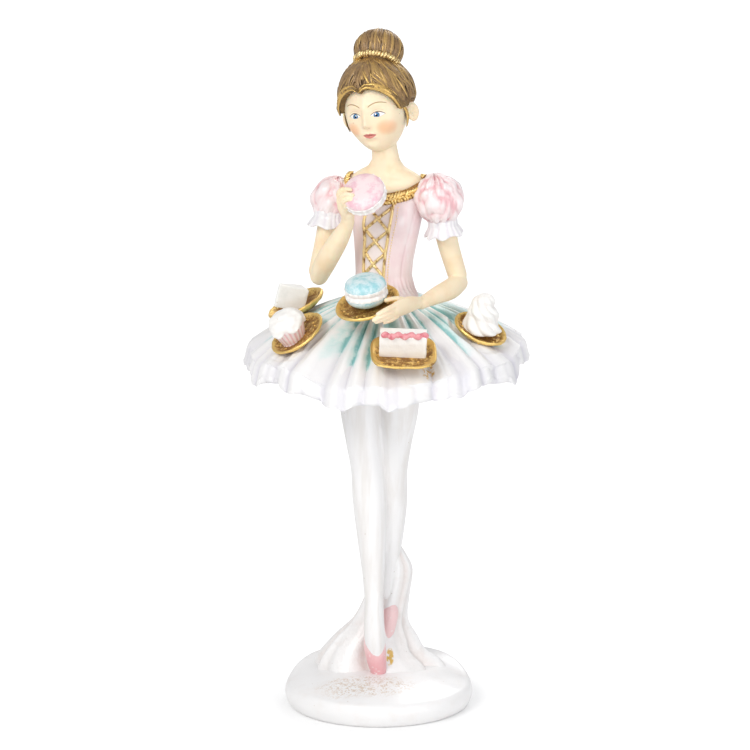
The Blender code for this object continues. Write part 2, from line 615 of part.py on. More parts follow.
def macaron(casting, shell_paint, centre, normal, radius, height):
    """Two domed shells with a ruffled filling between, standing on centre along the normal."""
    frame = facing(normal)
    half = height / 2
    shell = ((0.0, 0.16), (0.86, 0.16), (0.97, 0.24), (1.0, 0.40), (0.95, 0.62), (0.80, 0.82), (0.52, 0.95),
             (0.0, 1.0))
    for side in (-1, 1):
        outline = [(r * radius, side * h * half) for r, h in shell]
        turned_shell = lathe(outline if side > 0 else outline[::-1])
        casting.form(shell_paint, lambda u, v, f=turned_shell: placed(f(u, v), centre, frame), 56, 28)

    def filling(u, v):
        angle = 2 * np.pi * u
        scallop = 1 + 0.035 * np.sin(15 * angle) * step(0, 0.3, v)
        r = spline((0, 0.90, 1.0, 1.02, 0.96, 0.0), v) * radius * scallop
        r[(v <= 0) | (v >= 1)] = 0
        z = spline((-0.30, -0.27, -0.12, 0.10, 0.27, 0.30), v) * half
        return placed(np.column_stack([r * np.cos(angle), r * np.sin(angle), z]), centre, frame)

    casting.form("cream", filling, 64, 18)


def cupcake(casting, foot, normal, radius, height):
    """A fluted case with a domed iced top."""
    frame = facing(normal)

    def case(u, v):
        angle = 2 * np.pi * u
        r = spline((0, 0.70, 0.74, 0.88, 1.0, 0.92, 0), v) * radius * (1 + 0.03 * np.cos(18 * angle))
        r[(v <= 0) | (v >= 1)] = 0
        z = spline((0, 0, 0.04, 0.30, 0.50, 0.54, 0.56), v) * height
        return placed(np.column_stack([r * np.cos(angle), r * np.sin(angle), z]), foot, frame)

    def icing(u, v):
        angle = 2 * np.pi * u
        r = spline((0, 0.92, 1.08, 1.06, 0.86, 0.50, 0), v) * radius * (1 + 0.035 * np.sin(7 * angle)
                                                                        * step(0.9, 0.3, v))
        r[(v <= 0) | (v >= 1)] = 0
        droop = 0.4 * np.sin(7 * angle) * step(0.6, 0.2, v)
        z = spline((0.40, 0.42, 0.50, 0.68, 0.86, 0.97, 1.0), v) * height + droop
        return placed(np.column_stack([r * np.cos(angle), r * np.sin(angle), z]), foot, frame)

    casting.form("pink_case", case, 72, 28)
    casting.form("cream", icing, 64, 28)


def meringue(casting, foot, normal, radius, height):
    """A piped rosette: a fluted cone twisting to a curled tip."""
    frame = facing(normal)

    def shape(u, v):
        angle = 2 * np.pi * u
        r = spline((0, 0.96, 1.04, 0.90, 0.86, 0.66, 0.62, 0.34, 0), v) * radius
        r[(v <= 0) | (v >= 1)] = 0
        z = spline((0, 0.02, 0.16, 0.36, 0.54, 0.68, 0.84, 0.96, 1.0), v) * height
        twist = angle + 3.2 * v
        r = r * (1 + 0.11 * np.abs(np.sin(3.5 * twist)) * step(0, 0.2, v))
        bend = 1.4 * step(0.7, 1.0, v)
        return placed(np.column_stack([r * np.cos(angle) + bend, r * np.sin(angle), z]), foot, frame)

    casting.form("cream", shape, 84, 44)


def sweets(casting):
    """The plates of sweets: one in the hand, four on the tutu, and the macaron held up."""
    macaron(casting, "pink_shell", (-5.9, -24.4, 217.6), (-0.30, -0.69, 0.66), 8.8, 9.0)

    frame, seat = dish(casting, (-4.0, -33.0, 173.4), (-0.26, -0.33, 0.91), 13.2)
    macaron(casting, "blue_shell", seat + frame @ np.array((0.9, 0.8, 6.2)), (-0.13, -0.25, 0.96), 8.4, 11.9)

    frame, seat = dish(casting, (9.6, -46.0, 156.2), (0.03, -0.36, 0.93), 13.4, 0.9, 2.0, (1.0, 0.92), 3.4,
                       3.0)
    casting.block("cream", (18.6, 6.6, 10.0), seat + frame @ np.array((-0.3, 0.6, 4.8)),
                  frame @ turned((0, 0, -3)), 0.5)
    wave = np.linspace(0, 1, 25)
    ribbon = np.column_stack([-7.2 + 15.8 * wave, -2.2 + 0.6 * np.sin(wave * 19), np.full(25, 10.1)])
    casting.form("rose_icing", limb(placed(ribbon, seat, frame), np.full(25, 1.0), 0.8, (0, 0, 1)), 14, 80)

    frame, seat = dish(casting, (-31.6, -22.8, 159.2), (-0.52, -0.33, 0.79), 12.0, 1.0, 0.0, (1.0, 0.94),
                       2.0, 2.6)
    cupcake(casting, seat + frame @ np.array((-2.4, 0.4, -0.8)), (-0.42, -0.20, 0.88), 6.9, 13.2)

    frame, seat = dish(casting, (-32.6, 7.0, 164.6), (-0.42, -0.14, 0.90), 12.4, 1.3, 0.0, (1.0, 0.94), 2.0,
                       2.6)
    casting.block("cream", (11.6, 9.6, 9.8), seat + frame @ np.array((-1.0, -0.6, 5.4)),
                  frame @ turned((8, 38, 22)), 0.5, 0.8)

    frame, seat = dish(casting, (40.0, -15.6, 159.2), (0.35, -0.34, 0.87), 11.3, 1.1, 0.0, (1.0, 0.94), 2.0,
                       2.6)
    meringue(casting, seat + frame @ np.array((0.9, 0.9, -0.6)), (0.06, -0.14, 0.99), 6.9, 16.6)


def cast():
    """All the shapes of the figurine, not yet fused."""
    casting = Casting()
    base(casting)
    drapery(casting)
    legs(casting)
    tutu(casting)
    body(casting)
    lacing(casting)
    for settings in SLEEVES.values():
        sleeve(casting, **settings)
    for settings in ARMS.values():
        arm(casting, **settings)
    for settings in HANDS.values():
        hand(casting, **settings)
    head(casting)
    sweets(casting)
    return casting


# Paint of each part: colour, roughness, metallic
PAINTS = {
    "pearl_white": ((0.86, 0.85, 0.84), 0.35, 0.0),
    "skin": ((0.90, 0.76, 0.56), 0.45, 0.0),
    "pink_satin": ((0.86, 0.58, 0.60), 0.35, 0.0),
    "pink_shoe": ((0.85, 0.45, 0.45), 0.40, 0.0),
    "pink_shell": ((0.86, 0.56, 0.62), 0.50, 0.0),
    "blue_shell": ((0.50, 0.76, 0.82), 0.50, 0.0),
    "pink_case": ((0.84, 0.60, 0.62), 0.50, 0.0),
    "rose_icing": ((0.80, 0.30, 0.34), 0.40, 0.0),
    "cream": ((0.88, 0.87, 0.84), 0.45, 0.0),
    "aqua_white": ((0.66, 0.82, 0.82), 0.40, 0.0),
    "hair": ((0.24, 0.14, 0.06), 0.45, 0.2),
    "gold": ((0.62, 0.38, 0.10), 0.35, 0.9),
}


def paint_material(name):
    colour, roughness, metallic = PAINTS[name]
    material = bpy.data.materials.new(name)
    material.use_nodes = True
    shader = material.node_tree.nodes["Principled BSDF"]
    shader.inputs["Base Color"].default_value = (*colour, 1)
    shader.inputs["Roughness"].default_value = roughness
    shader.inputs["Metallic"].default_value = metallic
    return material


def evaluated(obj):
    """The object's mesh with its modifiers applied, as a new mesh."""
    graph = bpy.context.evaluated_depsgraph_get()
    graph.update()
    return bpy.data.meshes.new_from_object(obj.evaluated_get(graph))


# Where the faces are kept finer: lowest and highest height, and the weight that the decimation spares
FINE_BANDS = ((231.0, 256.0, 0.55), (165.0, 180.0, 0.12), (205.0, 226.0, 0.25))


def keep_outer_skin(mesh):
    """Drops the closed pockets inside, so that only the outer skin is left."""
    bm = bmesh.new()
    bm.from_mesh(mesh)
    islands, left = [], set(bm.verts)
    while left:
        start = left.pop()
        island, edge = [start], [start]
        while edge:
            joined = [e.other_vert(v) for v in edge for e in v.link_edges]
            edge = [v for v in dict.fromkeys(joined) if v in left]
            left.difference_update(edge)
            island += edge
        islands.append(island)
    islands.sort(key=len)
    for island in islands[:-1]:
        bmesh.ops.delete(bm, geom=island, context="VERTS")
    bm.to_mesh(mesh)
    bm.free()


def fused(casting):
    """The shapes joined into one closed skin, thinned to the triangles that it may have."""
    rough = bpy.data.meshes.new("rough")
    casting.mesh.to_mesh(rough)
    body_object = bpy.data.objects.new("ballerina_figurine", rough)
    bpy.context.scene.collection.objects.link(body_object)

    remesh = body_object.modifiers.new("fuse", "REMESH")
    remesh.mode = "VOXEL"
    remesh.voxel_size = VOXEL
    body_object.data = evaluated(body_object)
    body_object.modifiers.clear()
    keep_outer_skin(body_object.data)

    fine = body_object.vertex_groups.new(name="thin_out")
    for low, high, spare in FINE_BANDS:
        indices = [v.index for v in body_object.data.vertices if low <= v.co.z < high]
        fine.add(indices, 1 - spare, "REPLACE")
    rest = [v.index for v in body_object.data.vertices if not any(l <= v.co.z < h for l, h, _ in FINE_BANDS)]
    fine.add(rest, 1.0, "REPLACE")

    triangles = sum(len(p.vertices) - 2 for p in body_object.data.polygons)
    thin = body_object.modifiers.new("thin", "DECIMATE")
    thin.ratio = TRIANGLES / triangles
    thin.vertex_group = fine.name
    thin.use_collapse_triangulate = True
    body_object.data = evaluated(body_object)
    body_object.modifiers.clear()
    body_object.vertex_groups.clear()
    return body_object


def flat_underside(bm):
    """Cuts the casting level at z = 0, so that it stands on one flat face."""
    bmesh.ops.bisect_plane(bm, geom=bm.verts[:] + bm.edges[:] + bm.faces[:], dist=1e-6,
                           plane_co=(0, 0, 0), plane_no=(0, 0, 1), clear_inner=True)
    bmesh.ops.holes_fill(bm, edges=[e for e in bm.edges if e.is_boundary], sides=0)
    bmesh.ops.triangulate(bm, faces=bm.faces)


def main():
    for obj in list(bpy.data.objects):
        bpy.data.objects.remove(obj)
    casting = cast()
    figurine = fused(casting)
    figurine.data.name = figurine.name

    bm = bmesh.new()
    bm.from_mesh(figurine.data)
    flat_underside(bm)
    nearest = BVHTree.FromBMesh(casting.mesh)
    casting.mesh.faces.ensure_lookup_table()
    for face in bm.faces:
        found = nearest.find_nearest(face.calc_center_median())
        face.material_index = casting.mesh.faces[found[2]].material_index
    bmesh.ops.scale(bm, verts=bm.verts, vec=(MM, MM, MM))
    bm.to_mesh(figurine.data)
    bm.free()
    casting.mesh.free()

    figurine.data.materials.clear()
    for name in casting.paints:
        figurine.data.materials.append(paint_material(name))
    figurine.data.shade_smooth()
    figurine.data.set_sharp_from_angle(angle=math.radians(50))


main()
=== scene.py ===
"""Ballerina figurine: a painted cast-resin dancer on a round base, with plates of sweets on her tutu.

Lengths inside the shape functions are millimetres, and the meshes are written in metres.
X is the viewer's right, -Y the front and Z up. The origin is the centre of the flat underside.
"""
import json
import math

import bmesh
import bpy
import numpy as np
from mathutils import Euler, Matrix, Vector

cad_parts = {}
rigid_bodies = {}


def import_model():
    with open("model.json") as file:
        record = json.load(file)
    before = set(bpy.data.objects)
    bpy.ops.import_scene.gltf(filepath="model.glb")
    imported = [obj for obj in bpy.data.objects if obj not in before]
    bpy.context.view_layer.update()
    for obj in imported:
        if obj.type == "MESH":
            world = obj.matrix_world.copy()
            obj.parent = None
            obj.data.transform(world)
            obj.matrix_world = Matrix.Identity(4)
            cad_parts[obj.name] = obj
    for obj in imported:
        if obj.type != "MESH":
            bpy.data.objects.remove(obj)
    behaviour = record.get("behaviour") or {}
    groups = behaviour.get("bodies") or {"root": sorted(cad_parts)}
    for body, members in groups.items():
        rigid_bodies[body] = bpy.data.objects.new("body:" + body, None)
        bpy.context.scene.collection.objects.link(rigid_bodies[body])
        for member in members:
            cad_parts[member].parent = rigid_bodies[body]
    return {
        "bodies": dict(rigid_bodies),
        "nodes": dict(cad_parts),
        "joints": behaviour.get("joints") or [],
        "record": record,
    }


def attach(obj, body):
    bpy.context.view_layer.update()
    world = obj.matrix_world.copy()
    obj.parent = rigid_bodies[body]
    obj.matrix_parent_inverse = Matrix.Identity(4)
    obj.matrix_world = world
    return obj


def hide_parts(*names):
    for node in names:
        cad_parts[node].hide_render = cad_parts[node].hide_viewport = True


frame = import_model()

bl_info = {
    "name": "Ballerina figurine",
    "version": (1, 0, 0),
    "blender": (4, 5, 0),
    "location": "View3D > Sidebar > Figurine",
    "description": "Builds a painted cast-resin ballerina with her plates of sweets",
    "category": "Add Mesh",
}

MM = 0.001
NODE = "ballerina_figurine"


# Curves and blends

def unit(vector):
    vector = np.asarray(vector, float)
    return vector / np.linalg.norm(vector, axis=-1, keepdims=True)


def spline(knots, t):
    """Points at t, from 0 to 1, on the smooth curve through the knots."""
    knots = np.asarray(knots, float)
    flat = knots.ndim == 1
    if flat:
        knots = knots[:, None]
    ends = np.vstack([2 * knots[:1] - knots[1:2], knots, 2 * knots[-1:] - knots[-2:-1]])
    s = np.clip(np.asarray(t, float), 0, 1) * (len(knots) - 1)
    i = np.minimum(s.astype(int), len(knots) - 2)
    f = (s - i)[:, None]
    p0, p1, p2, p3 = ends[i], ends[i + 1], ends[i + 2], ends[i + 3]
    out = 0.5 * (2 * p1 + (p2 - p0) * f + (2 * p0 - 5 * p1 + 4 * p2 - p3) * f**2
                 + (3 * p1 - p0 - 3 * p2 + p3) * f**3)
    return out[:, 0] if flat else out


def step(low, high, x):
    t = np.clip((x - low) / (high - low), 0, 1)
    return t * t * (3 - 2 * t)


def bell(x, centre, width):
    return np.exp(-(((x - centre) / width) ** 2))


def groove(phase, sharp=2.0):
    """A fold's height at a phase in turns: 1 on the rounded ridge, 0 in the crease."""
    return 1 - np.abs(2 * (phase % 1) - 1) ** sharp


def turned(angles_deg):
    """A rotation matrix from angles about X, then Y, then Z."""
    return np.array(Euler([math.radians(a) for a in angles_deg], "XYZ").to_matrix())


def facing(normal, spin_deg=0.0):
    """A rotation matrix whose Z column is the normal, with X kept level before the spin."""
    z = unit(normal)
    x = unit(np.cross((0, 1, 0), z))
    return np.column_stack([x, np.cross(z, x), z]) @ turned((0, 0, spin_deg))


def placed(points, centre, frame=None):
    points = points if frame is None else points @ np.asarray(frame).T
    return points + np.asarray(centre, float)


def sphere(polar, angle):
    """Unit directions at an angle from the pole and an angle round it."""
    return ring(np.sin(polar), angle, np.cos(polar))


def ring(r, angle, z):
    """Points at radius r and height z, at an angle round the Z axis."""
    return np.column_stack([r * np.cos(angle), r * np.sin(angle), z])


def closed(r, v):
    """Radii drawn in to nothing at both poles."""
    return np.where((v <= 0) | (v >= 1), 0, r)


def lumps(points, scale, seed=0.0):
    """A smooth unevenness between about -1 and 1, the same at each run."""
    x, y, z = (points / scale).T
    out = np.sin(1.3 * x + 1.9 * y + seed) + np.sin(1.7 * y - 1.1 * z + 2.1 * seed)
    out += np.sin(1.5 * z + 1.2 * x - seed)
    out += 0.6 * np.sin(2.9 * x - 2.3 * z + seed * 3) + 0.6 * np.sin(2.7 * y + 3.1 * z - seed * 2)
    return out / 3.2


# Building of the pieces

class Piece:
    """A mesh that is put together from closed forms, with the fold shade of each point."""

    def __init__(self, name):
        self.name = name
        self.mesh = bmesh.new()
        self.shade = self.mesh.verts.layers.float.new("shade")
        self.reach = self.mesh.verts.layers.float.new("reach")

    def form(self, shape, around=48, along=32):
        """A sheet of faces bent by shape(u, v) into a closed form: u runs round it, v from pole to pole."""
        bm, layers = self.blank()
        bmesh.ops.create_grid(bm, x_segments=around, y_segments=along, size=0.5)
        uv = np.array([vert.co for vert in bm.verts])[:, :2] + 0.5
        self.bend(bm, shape(uv[:, 0], uv[:, 1]), *layers)
        bmesh.ops.remove_doubles(bm, verts=bm.verts, dist=1e-4)
        return self.add(bm)

    def ball(self, shape, subdivisions=4):
        """An icosphere whose unit points are moved by shape(points)."""
        bm, layers = self.blank()
        bmesh.ops.create_icosphere(bm, subdivisions=subdivisions, radius=1)
        self.bend(bm, shape(np.array([vert.co for vert in bm.verts])), *layers)
        return self.add(bm)

    def filled(self, add, *values, **sizes):
        """The piece after add has put its forms in."""
        add(self, *values, **sizes)
        return self

    def block(self, size, centre, frame, bevel=0.4, cuts=12, rough=0.0, taper=0.0):
        """A rounded block, its faces cut finely and left a little uneven."""
        bm, (shade, _) = self.blank()
        bmesh.ops.create_cube(bm, size=1)
        for vert in bm.verts:
            vert.co.y *= 1 - taper * (0.5 - vert.co.x)
        bmesh.ops.scale(bm, verts=bm.verts, vec=size)
        bmesh.ops.bevel(bm, geom=bm.edges[:], offset=bevel, segments=3, affect="EDGES", profile=0.5,
                        material=-1)
        bmesh.ops.triangulate(bm, faces=bm.faces)
        long_edges = [edge for edge in bm.edges if edge.calc_length() > 1.2]
        bmesh.ops.subdivide_edges(bm, edges=long_edges, cuts=cuts, use_grid_fill=True)
        move = Matrix.Translation(centre) @ Matrix([list(row) for row in frame]).to_4x4()
        bmesh.ops.transform(bm, verts=bm.verts, matrix=move)
        bm.normal_update()
        points = np.array([vert.co for vert in bm.verts])
        for vert, push in zip(bm.verts, rough * lumps(points, 1.1, 2.0)):
            # Painted shade: the shade value is lower on the sides than on the top, as if lit from above.
            vert[shade] = 0.78 + 0.2 * max(vert.normal.z, 0) + push
            vert.co += vert.normal * push
        return self.add(bm)

    def blank(self):
        """An empty mesh and its two layers: the fold shade, and how far some feature reaches."""
        bm = bmesh.new()
        return bm, (bm.verts.layers.float.new("shade"), bm.verts.layers.float.new("reach"))

    def bend(self, bm, result, shade, reach):
        """Move the mesh's points to the shape's result, which may also hold their shades and reaches."""
        points, folds, far = result if isinstance(result, tuple) else (result, None, None)
        folds = np.ones(len(points)) if folds is None else folds
        far = np.zeros(len(points)) if far is None else far
        for vert, point, fold, out in zip(bm.verts, points.tolist(), folds.tolist(), far.tolist()):
            vert.co = point
            vert[shade] = fold
            vert[reach] = out

    def add(self, bm):
        bmesh.ops.recalc_face_normals(bm, faces=bm.faces)
        piece = bpy.data.meshes.new("piece")
        bm.to_mesh(piece)
        self.mesh.from_mesh(piece)
        bpy.data.meshes.remove(piece)
        bm.free()
        return self

    def finish(self, material, fuse=0.0, smooth=0, sharp=60):
        """The piece as an object: in metres, shaded smooth, riding the part and taking the node's place."""
        mesh = bpy.data.meshes.new(self.name)
        self.mesh.to_mesh(mesh)
        self.mesh.free()
        obj = bpy.data.objects.new(self.name, mesh)
        bpy.context.scene.collection.objects.link(obj)
        if fuse:
            blend = obj.modifiers.new("fuse", "REMESH")
            blend.mode = "VOXEL"
            blend.voxel_size = fuse
            relax = obj.modifiers.new("relax", "SMOOTH")
            relax.factor = 0.5
            relax.iterations = smooth
            graph = bpy.context.evaluated_depsgraph_get()
            graph.update()
            fused = bpy.data.meshes.new_from_object(obj.evaluated_get(graph))
            obj.modifiers.clear()
            obj.data = fused
            bpy.data.meshes.remove(mesh)
            mesh = fused
            mesh.name = self.name
            for name, value in (("shade", 1.0), ("reach", 0.0)):
                if name not in mesh.attributes:
                    mesh.attributes.new(name, "FLOAT", "POINT")
                values = np.full(len(mesh.vertices), value, np.float32)
                mesh.attributes[name].data.foreach_set("value", values)
        mesh.transform(Matrix.Scale(MM, 4))
        mesh.shade_smooth()
        mesh.set_sharp_from_angle(angle=math.radians(sharp))
        mesh.materials.clear()
        mesh.materials.append(material)
        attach(obj, "root")
        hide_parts(NODE)
        return obj


# Steps along a limb's path, and along each of its round ends
LIMB_STEPS = 96
CAP_STEPS = 8


def limb(path, radii, flat=1.0, side=(1, 0, 0), relief=None):
    """The shape of a round-ended limb along the path. flat is its depth over its width."""
    t = np.linspace(0, 1, LIMB_STEPS + 1)
    centre, radius = spline(path, t), spline(radii, t)
    depth = spline(flat, t) if np.ndim(flat) else np.full(len(t), flat)
    tangent = unit(np.gradient(centre, axis=0))
    turn = np.linspace(0, math.pi / 2, CAP_STEPS + 1)
    out, back = np.cos(turn), np.sin(turn)
    head = centre[0] - tangent[0] * radius[0] * back[::-1, None]
    tail = centre[-1] + tangent[-1] * radius[-1] * back[:, None]
    centre = np.vstack([head[:-1], centre, tail[1:]])
    radius = np.concatenate([radius[0] * out[::-1][:-1], radius, radius[-1] * out[1:]])
    depth = np.pad(depth, CAP_STEPS, "edge")
    tangent = np.pad(tangent, ((CAP_STEPS, CAP_STEPS), (0, 0)), "edge")
    across = unit(np.asarray(side, float) - (tangent @ np.asarray(side, float))[:, None] * tangent)
    through = np.cross(tangent, across)
    radius[0] = radius[-1] = 0
    run = np.concatenate([[0], np.cumsum(np.linalg.norm(np.diff(centre, axis=0), axis=1))])
    run /= run[-1]

    def at(values, v):
        return np.column_stack([np.interp(v, run, values[:, k]) for k in range(3)])

    def shape(u, v):
        angle = 2 * np.pi * u
        r, d = np.interp(v, run, radius), np.interp(v, run, depth)
        shade = np.ones_like(u)
        if relief:
            push, shade = relief(u, v)
            r = r * (1 + push)
        points = (at(centre, v) + (r * np.cos(angle))[:, None] * at(across, v)
                  + (r * d * np.sin(angle))[:, None] * at(through, v))
        return points, shade, None

    return shape


def lathe(profile):
    """The shape of a turned form: profile points (radius, height) from the lower pole to the upper."""
    profile = np.asarray(profile, float)
    run = np.concatenate([[0], np.cumsum(np.linalg.norm(np.diff(profile, axis=0), axis=1))])
    run /= run[-1]

    def shape(u, v):
        angle = 2 * np.pi * u
        r, z = np.interp(v, run, profile[:, 0]), np.interp(v, run, profile[:, 1])
        return ring(r, angle, z)

    return shape


# Paint

class Value:
    """A socket that can be reckoned with: each operator adds a Math node."""

    def __init__(self, paint, socket):
        self.paint, self.socket = paint, socket

    def math(self, operation, *others):
        node = self.paint.node("ShaderNodeMath", operation=operation)
        for socket, value in zip(node.inputs, (self,) + others):
            self.paint.feed(socket, value)
        return Value(self.paint, node.outputs[0])

    def __add__(self, other):
        return self.math("ADD", other)

    def __sub__(self, other):
        return self.math("SUBTRACT", other)

    def __mul__(self, other):
        return self.math("MULTIPLY", other)

    def __truediv__(self, other):
        return self.math("DIVIDE", other)

    __radd__ = __add__
    __rmul__ = __mul__

    def __rsub__(self, other):
        return self * -1 + other

    def step(self, low, high):
        """0 below low, 1 above high and smooth between. high under low turns it over."""
        node = self.paint.node("ShaderNodeMapRange", interpolation_type="SMOOTHSTEP")
        flip = high < low
        for name, value in (("From Min", min(low, high)), ("From Max", max(low, high)),
                            ("To Min", 1.0 if flip else 0.0), ("To Max", 0.0 if flip else 1.0)):
            node.inputs[name].default_value = value
        self.paint.feed(node.inputs["Value"], self)
        return Value(self.paint, node.outputs[0])

    def clip(self):
        return self.math("MINIMUM", 1.0).math("MAXIMUM", 0.0)


class Paint:
    """A material on one Principled shader, its maps reckoned from Object coordinates and fold attributes."""

    def __init__(self, name, roughness=0.4, metallic=0.0, coat=0.0, subsurface=0.0):
        self.material = bpy.data.materials.new(name)
        self.material.use_nodes = True
        self.tree = self.material.node_tree
        self.shader = self.tree.nodes["Principled BSDF"]
        self.shader.inputs["Roughness"].default_value = roughness
        self.shader.inputs["Metallic"].default_value = metallic
        self.shader.inputs["Coat Weight"].default_value = coat
        self.shader.inputs["Coat Roughness"].default_value = 0.18
        self.shader.inputs["Subsurface Weight"].default_value = subsurface
        self.shader.inputs["Subsurface Scale"].default_value = 0.002
        self.where = self.node("ShaderNodeTexCoord").outputs["Object"]

    def node(self, kind, inputs=None, **settings):
        node = self.tree.nodes.new(kind)
        for name, value in settings.items():
            setattr(node, name, value)
        for name, value in (inputs or {}).items():
            self.feed(node.inputs[name], value)
        return node

    def feed(self, socket, value):
        if isinstance(value, Value):
            value = value.socket
        if isinstance(value, bpy.types.NodeSocket):
            self.tree.links.new(value, socket)
        elif isinstance(value, (tuple, list)) and len(value) == 3 and socket.type == "RGBA":
            socket.default_value = (*value, 1.0)
        else:
            socket.default_value = value

    def attribute(self, name):
        return Value(self, self.node("ShaderNodeAttribute", attribute_name=name).outputs["Fac"])

    def noise(self, scale_mm, detail=3.0, stretch=(1, 1, 1), rough=0.55, where=None):
        """Unevenness between 0 and 1 whose lumps are about this many millimetres across."""
        place = self.node("ShaderNodeMapping", {"Vector": where or self.where, "Scale": stretch}).outputs[0]
        node = self.node("ShaderNodeTexNoise", {"Vector": place, "Scale": 1000.0 / scale_mm, "Detail": detail,
                                                "Roughness": rough})
        return Value(self, node.outputs[0])

    def specks(self, spacing_mm, size):
        """1 in small round specks this far apart and this share of the spacing across, else 0."""
        node = self.node("ShaderNodeTexVoronoi", {"Vector": self.where, "Scale": 1000.0 / spacing_mm,
                                                  "Randomness": 1.0})
        return Value(self, node.outputs["Distance"]).step(size, size * 0.6)

    def specked(self, colour, spacing_mm, size, strength, dirt):
        return self.mix(self.specks(spacing_mm, size) * strength, colour, dirt)

    def local(self, centre, angles_deg=(0, 0, 0)):
        """X, Y and Z in millimetres in a frame of this centre and turn."""
        node = self.node("ShaderNodeMapping", {"Vector": self.where, "Location": [c * MM for c in centre],
                                               "Rotation": [math.radians(a) for a in angles_deg],
                                               "Scale": (MM, MM, MM)}, vector_type="TEXTURE")
        parts = self.node("ShaderNodeSeparateXYZ", {"Vector": node.outputs[0]})
        return [Value(self, parts.outputs[k]) for k in range(3)]

    def mix(self, factor, a, b):
        node = self.node("ShaderNodeMix", data_type="RGBA")
        self.feed(node.inputs[0], factor)
        self.feed(node.inputs[6], a)
        self.feed(node.inputs[7], b)
        return node.outputs[2]

    def look(self, colour, roughness=None, metallic=None, bump=None, depth_mm=0.1):
        self.feed(self.shader.inputs["Base Color"], colour)
        if roughness is not None:
            self.feed(self.shader.inputs["Roughness"], roughness)
        if metallic is not None:
            self.feed(self.shader.inputs["Metallic"], metallic)
        if bump is not None:
            node = self.node("ShaderNodeBump", {"Height": bump, "Distance": depth_mm * MM, "Strength": 1.0})
            self.feed(self.shader.inputs["Normal"], node.outputs[0])
        return self.material


def pearl_paint(name, s, shade_colour, grit=0.0):
    """White pearl paint, warmer with painted shade in the folds, with a few dark specks."""
    p = Paint(name, 0.38, coat=0.25)
    folds, cloud = p.attribute("shade"), p.noise(9.0)
    # Painted shade in the folds, with random patches of tone, mixes towards shade_colour.
    colour = p.mix((1 - folds) * 0.85 + cloud.step(0.55, 0.8) * 0.25, tuple(s.pearl), shade_colour)
    colour = p.specked(colour, 6.0, 0.045, 0.6, (0.42, 0.30, 0.22))
    return p.look(colour, 0.34 + cloud * 0.12, bump=p.noise(1.2, 4.0) + folds * 0.3, depth_mm=0.10 + grit)


def drapery_paint(s):
    """Pearl white, rougher, with a smear of gold beside the toe."""
    p = Paint("drapery_pearl", 0.36, coat=0.25)
    x, y, z = p.local((4.6, 0.0, 20.0))
    folds, cloud, fine = p.attribute("shade"), p.noise(5.0), p.noise(1.2, 5.0)
    smear = ((x * x) / 3.0 + (z * z) / 16.0 + cloud * 1.2).step(1.5, 1.0) * y.step(4.0, 2.0)
    # Painted shade in the folds, with random patches of tone.
    colour = p.mix((1 - folds) * 0.8 + cloud.step(0.5, 0.75) * 0.3, tuple(s.pearl), (0.74, 0.66, 0.62))
    colour = p.mix(smear * fine.step(0.35, 0.5), colour, (0.70, 0.45, 0.10))
    colour = p.specked(colour, 5.0, 0.05, 0.6, (0.42, 0.30, 0.22))
    return p.look(colour, 0.32 + cloud * 0.12, bump=fine + cloud * 1.5, depth_mm=0.22)


def tights_paint(s):
    """Pearl white with long soft vertical streaks of painted shade."""
    p = Paint("tights_pearl", 0.34, coat=0.3)
    streak = p.noise(4.5, 3.0, stretch=(1.0, 1.0, 0.12))
    # Painted shade: the long streaks turn a darker grey-beige.
    colour = p.mix(streak.step(0.40, 0.68) * 0.75, tuple(s.pearl), (0.77, 0.74, 0.71))
    colour = p.specked(colour, 6.0, 0.045, 0.6, (0.42, 0.30, 0.22))
    return p.look(colour, 0.28 + streak * 0.16, bump=streak * 2.0 + p.noise(1.2, 4.0) * 0.5, depth_mm=0.16)


def base_paint(s):
    """Pearl white, scuffed to a beige speckle on the front of the top."""
    p = Paint("base_pearl", 0.36, coat=0.25)
    x, y, z = p.local((-6.0, -20.5, 12.0))
    cloud, fine = p.noise(7.0), p.noise(0.7, 5.0)
    patch = ((x * x) / 760.0 + (y * y) / 190.0 + cloud * 0.9).step(1.25, 0.55) * z.step(-3.0, -1.5)
    scuff = patch * (fine * 0.8 + p.noise(2.0) * 0.55).step(0.66, 0.76)
    colour = p.mix(cloud.step(0.45, 0.8) * 0.35, tuple(s.pearl), (0.80, 0.74, 0.70))
    colour = p.mix(scuff * 0.75, colour, (0.60, 0.46, 0.34))
    colour = p.specked(colour, 5.0, 0.05, 0.7, (0.45, 0.33, 0.24))
    return p.look(colour, 0.32 + scuff * 0.3, bump=fine * 0.5 + p.noise(3.0) * 0.6, depth_mm=0.12)


def skin_paint(name, s):
    p = Paint(name, 0.46, subsurface=0.12)
    cloud = p.noise(8.0)
    colour = p.mix(cloud.step(0.4, 0.75) * 0.6, tuple(s.skin), (0.84, 0.62, 0.38))
    colour = p.specked(colour, 4.6, 0.07, 0.6, (0.42, 0.27, 0.16))
    return p.look(colour, 0.42 + cloud * 0.12, bump=p.noise(1.6, 3.0), depth_mm=0.05)


# The painted face: places in the head's own frame, in millimetres
EYE = (5.0, -0.4)
IRIS = (4.6, -0.5)
MOUTH_HEIGHT = -8.6


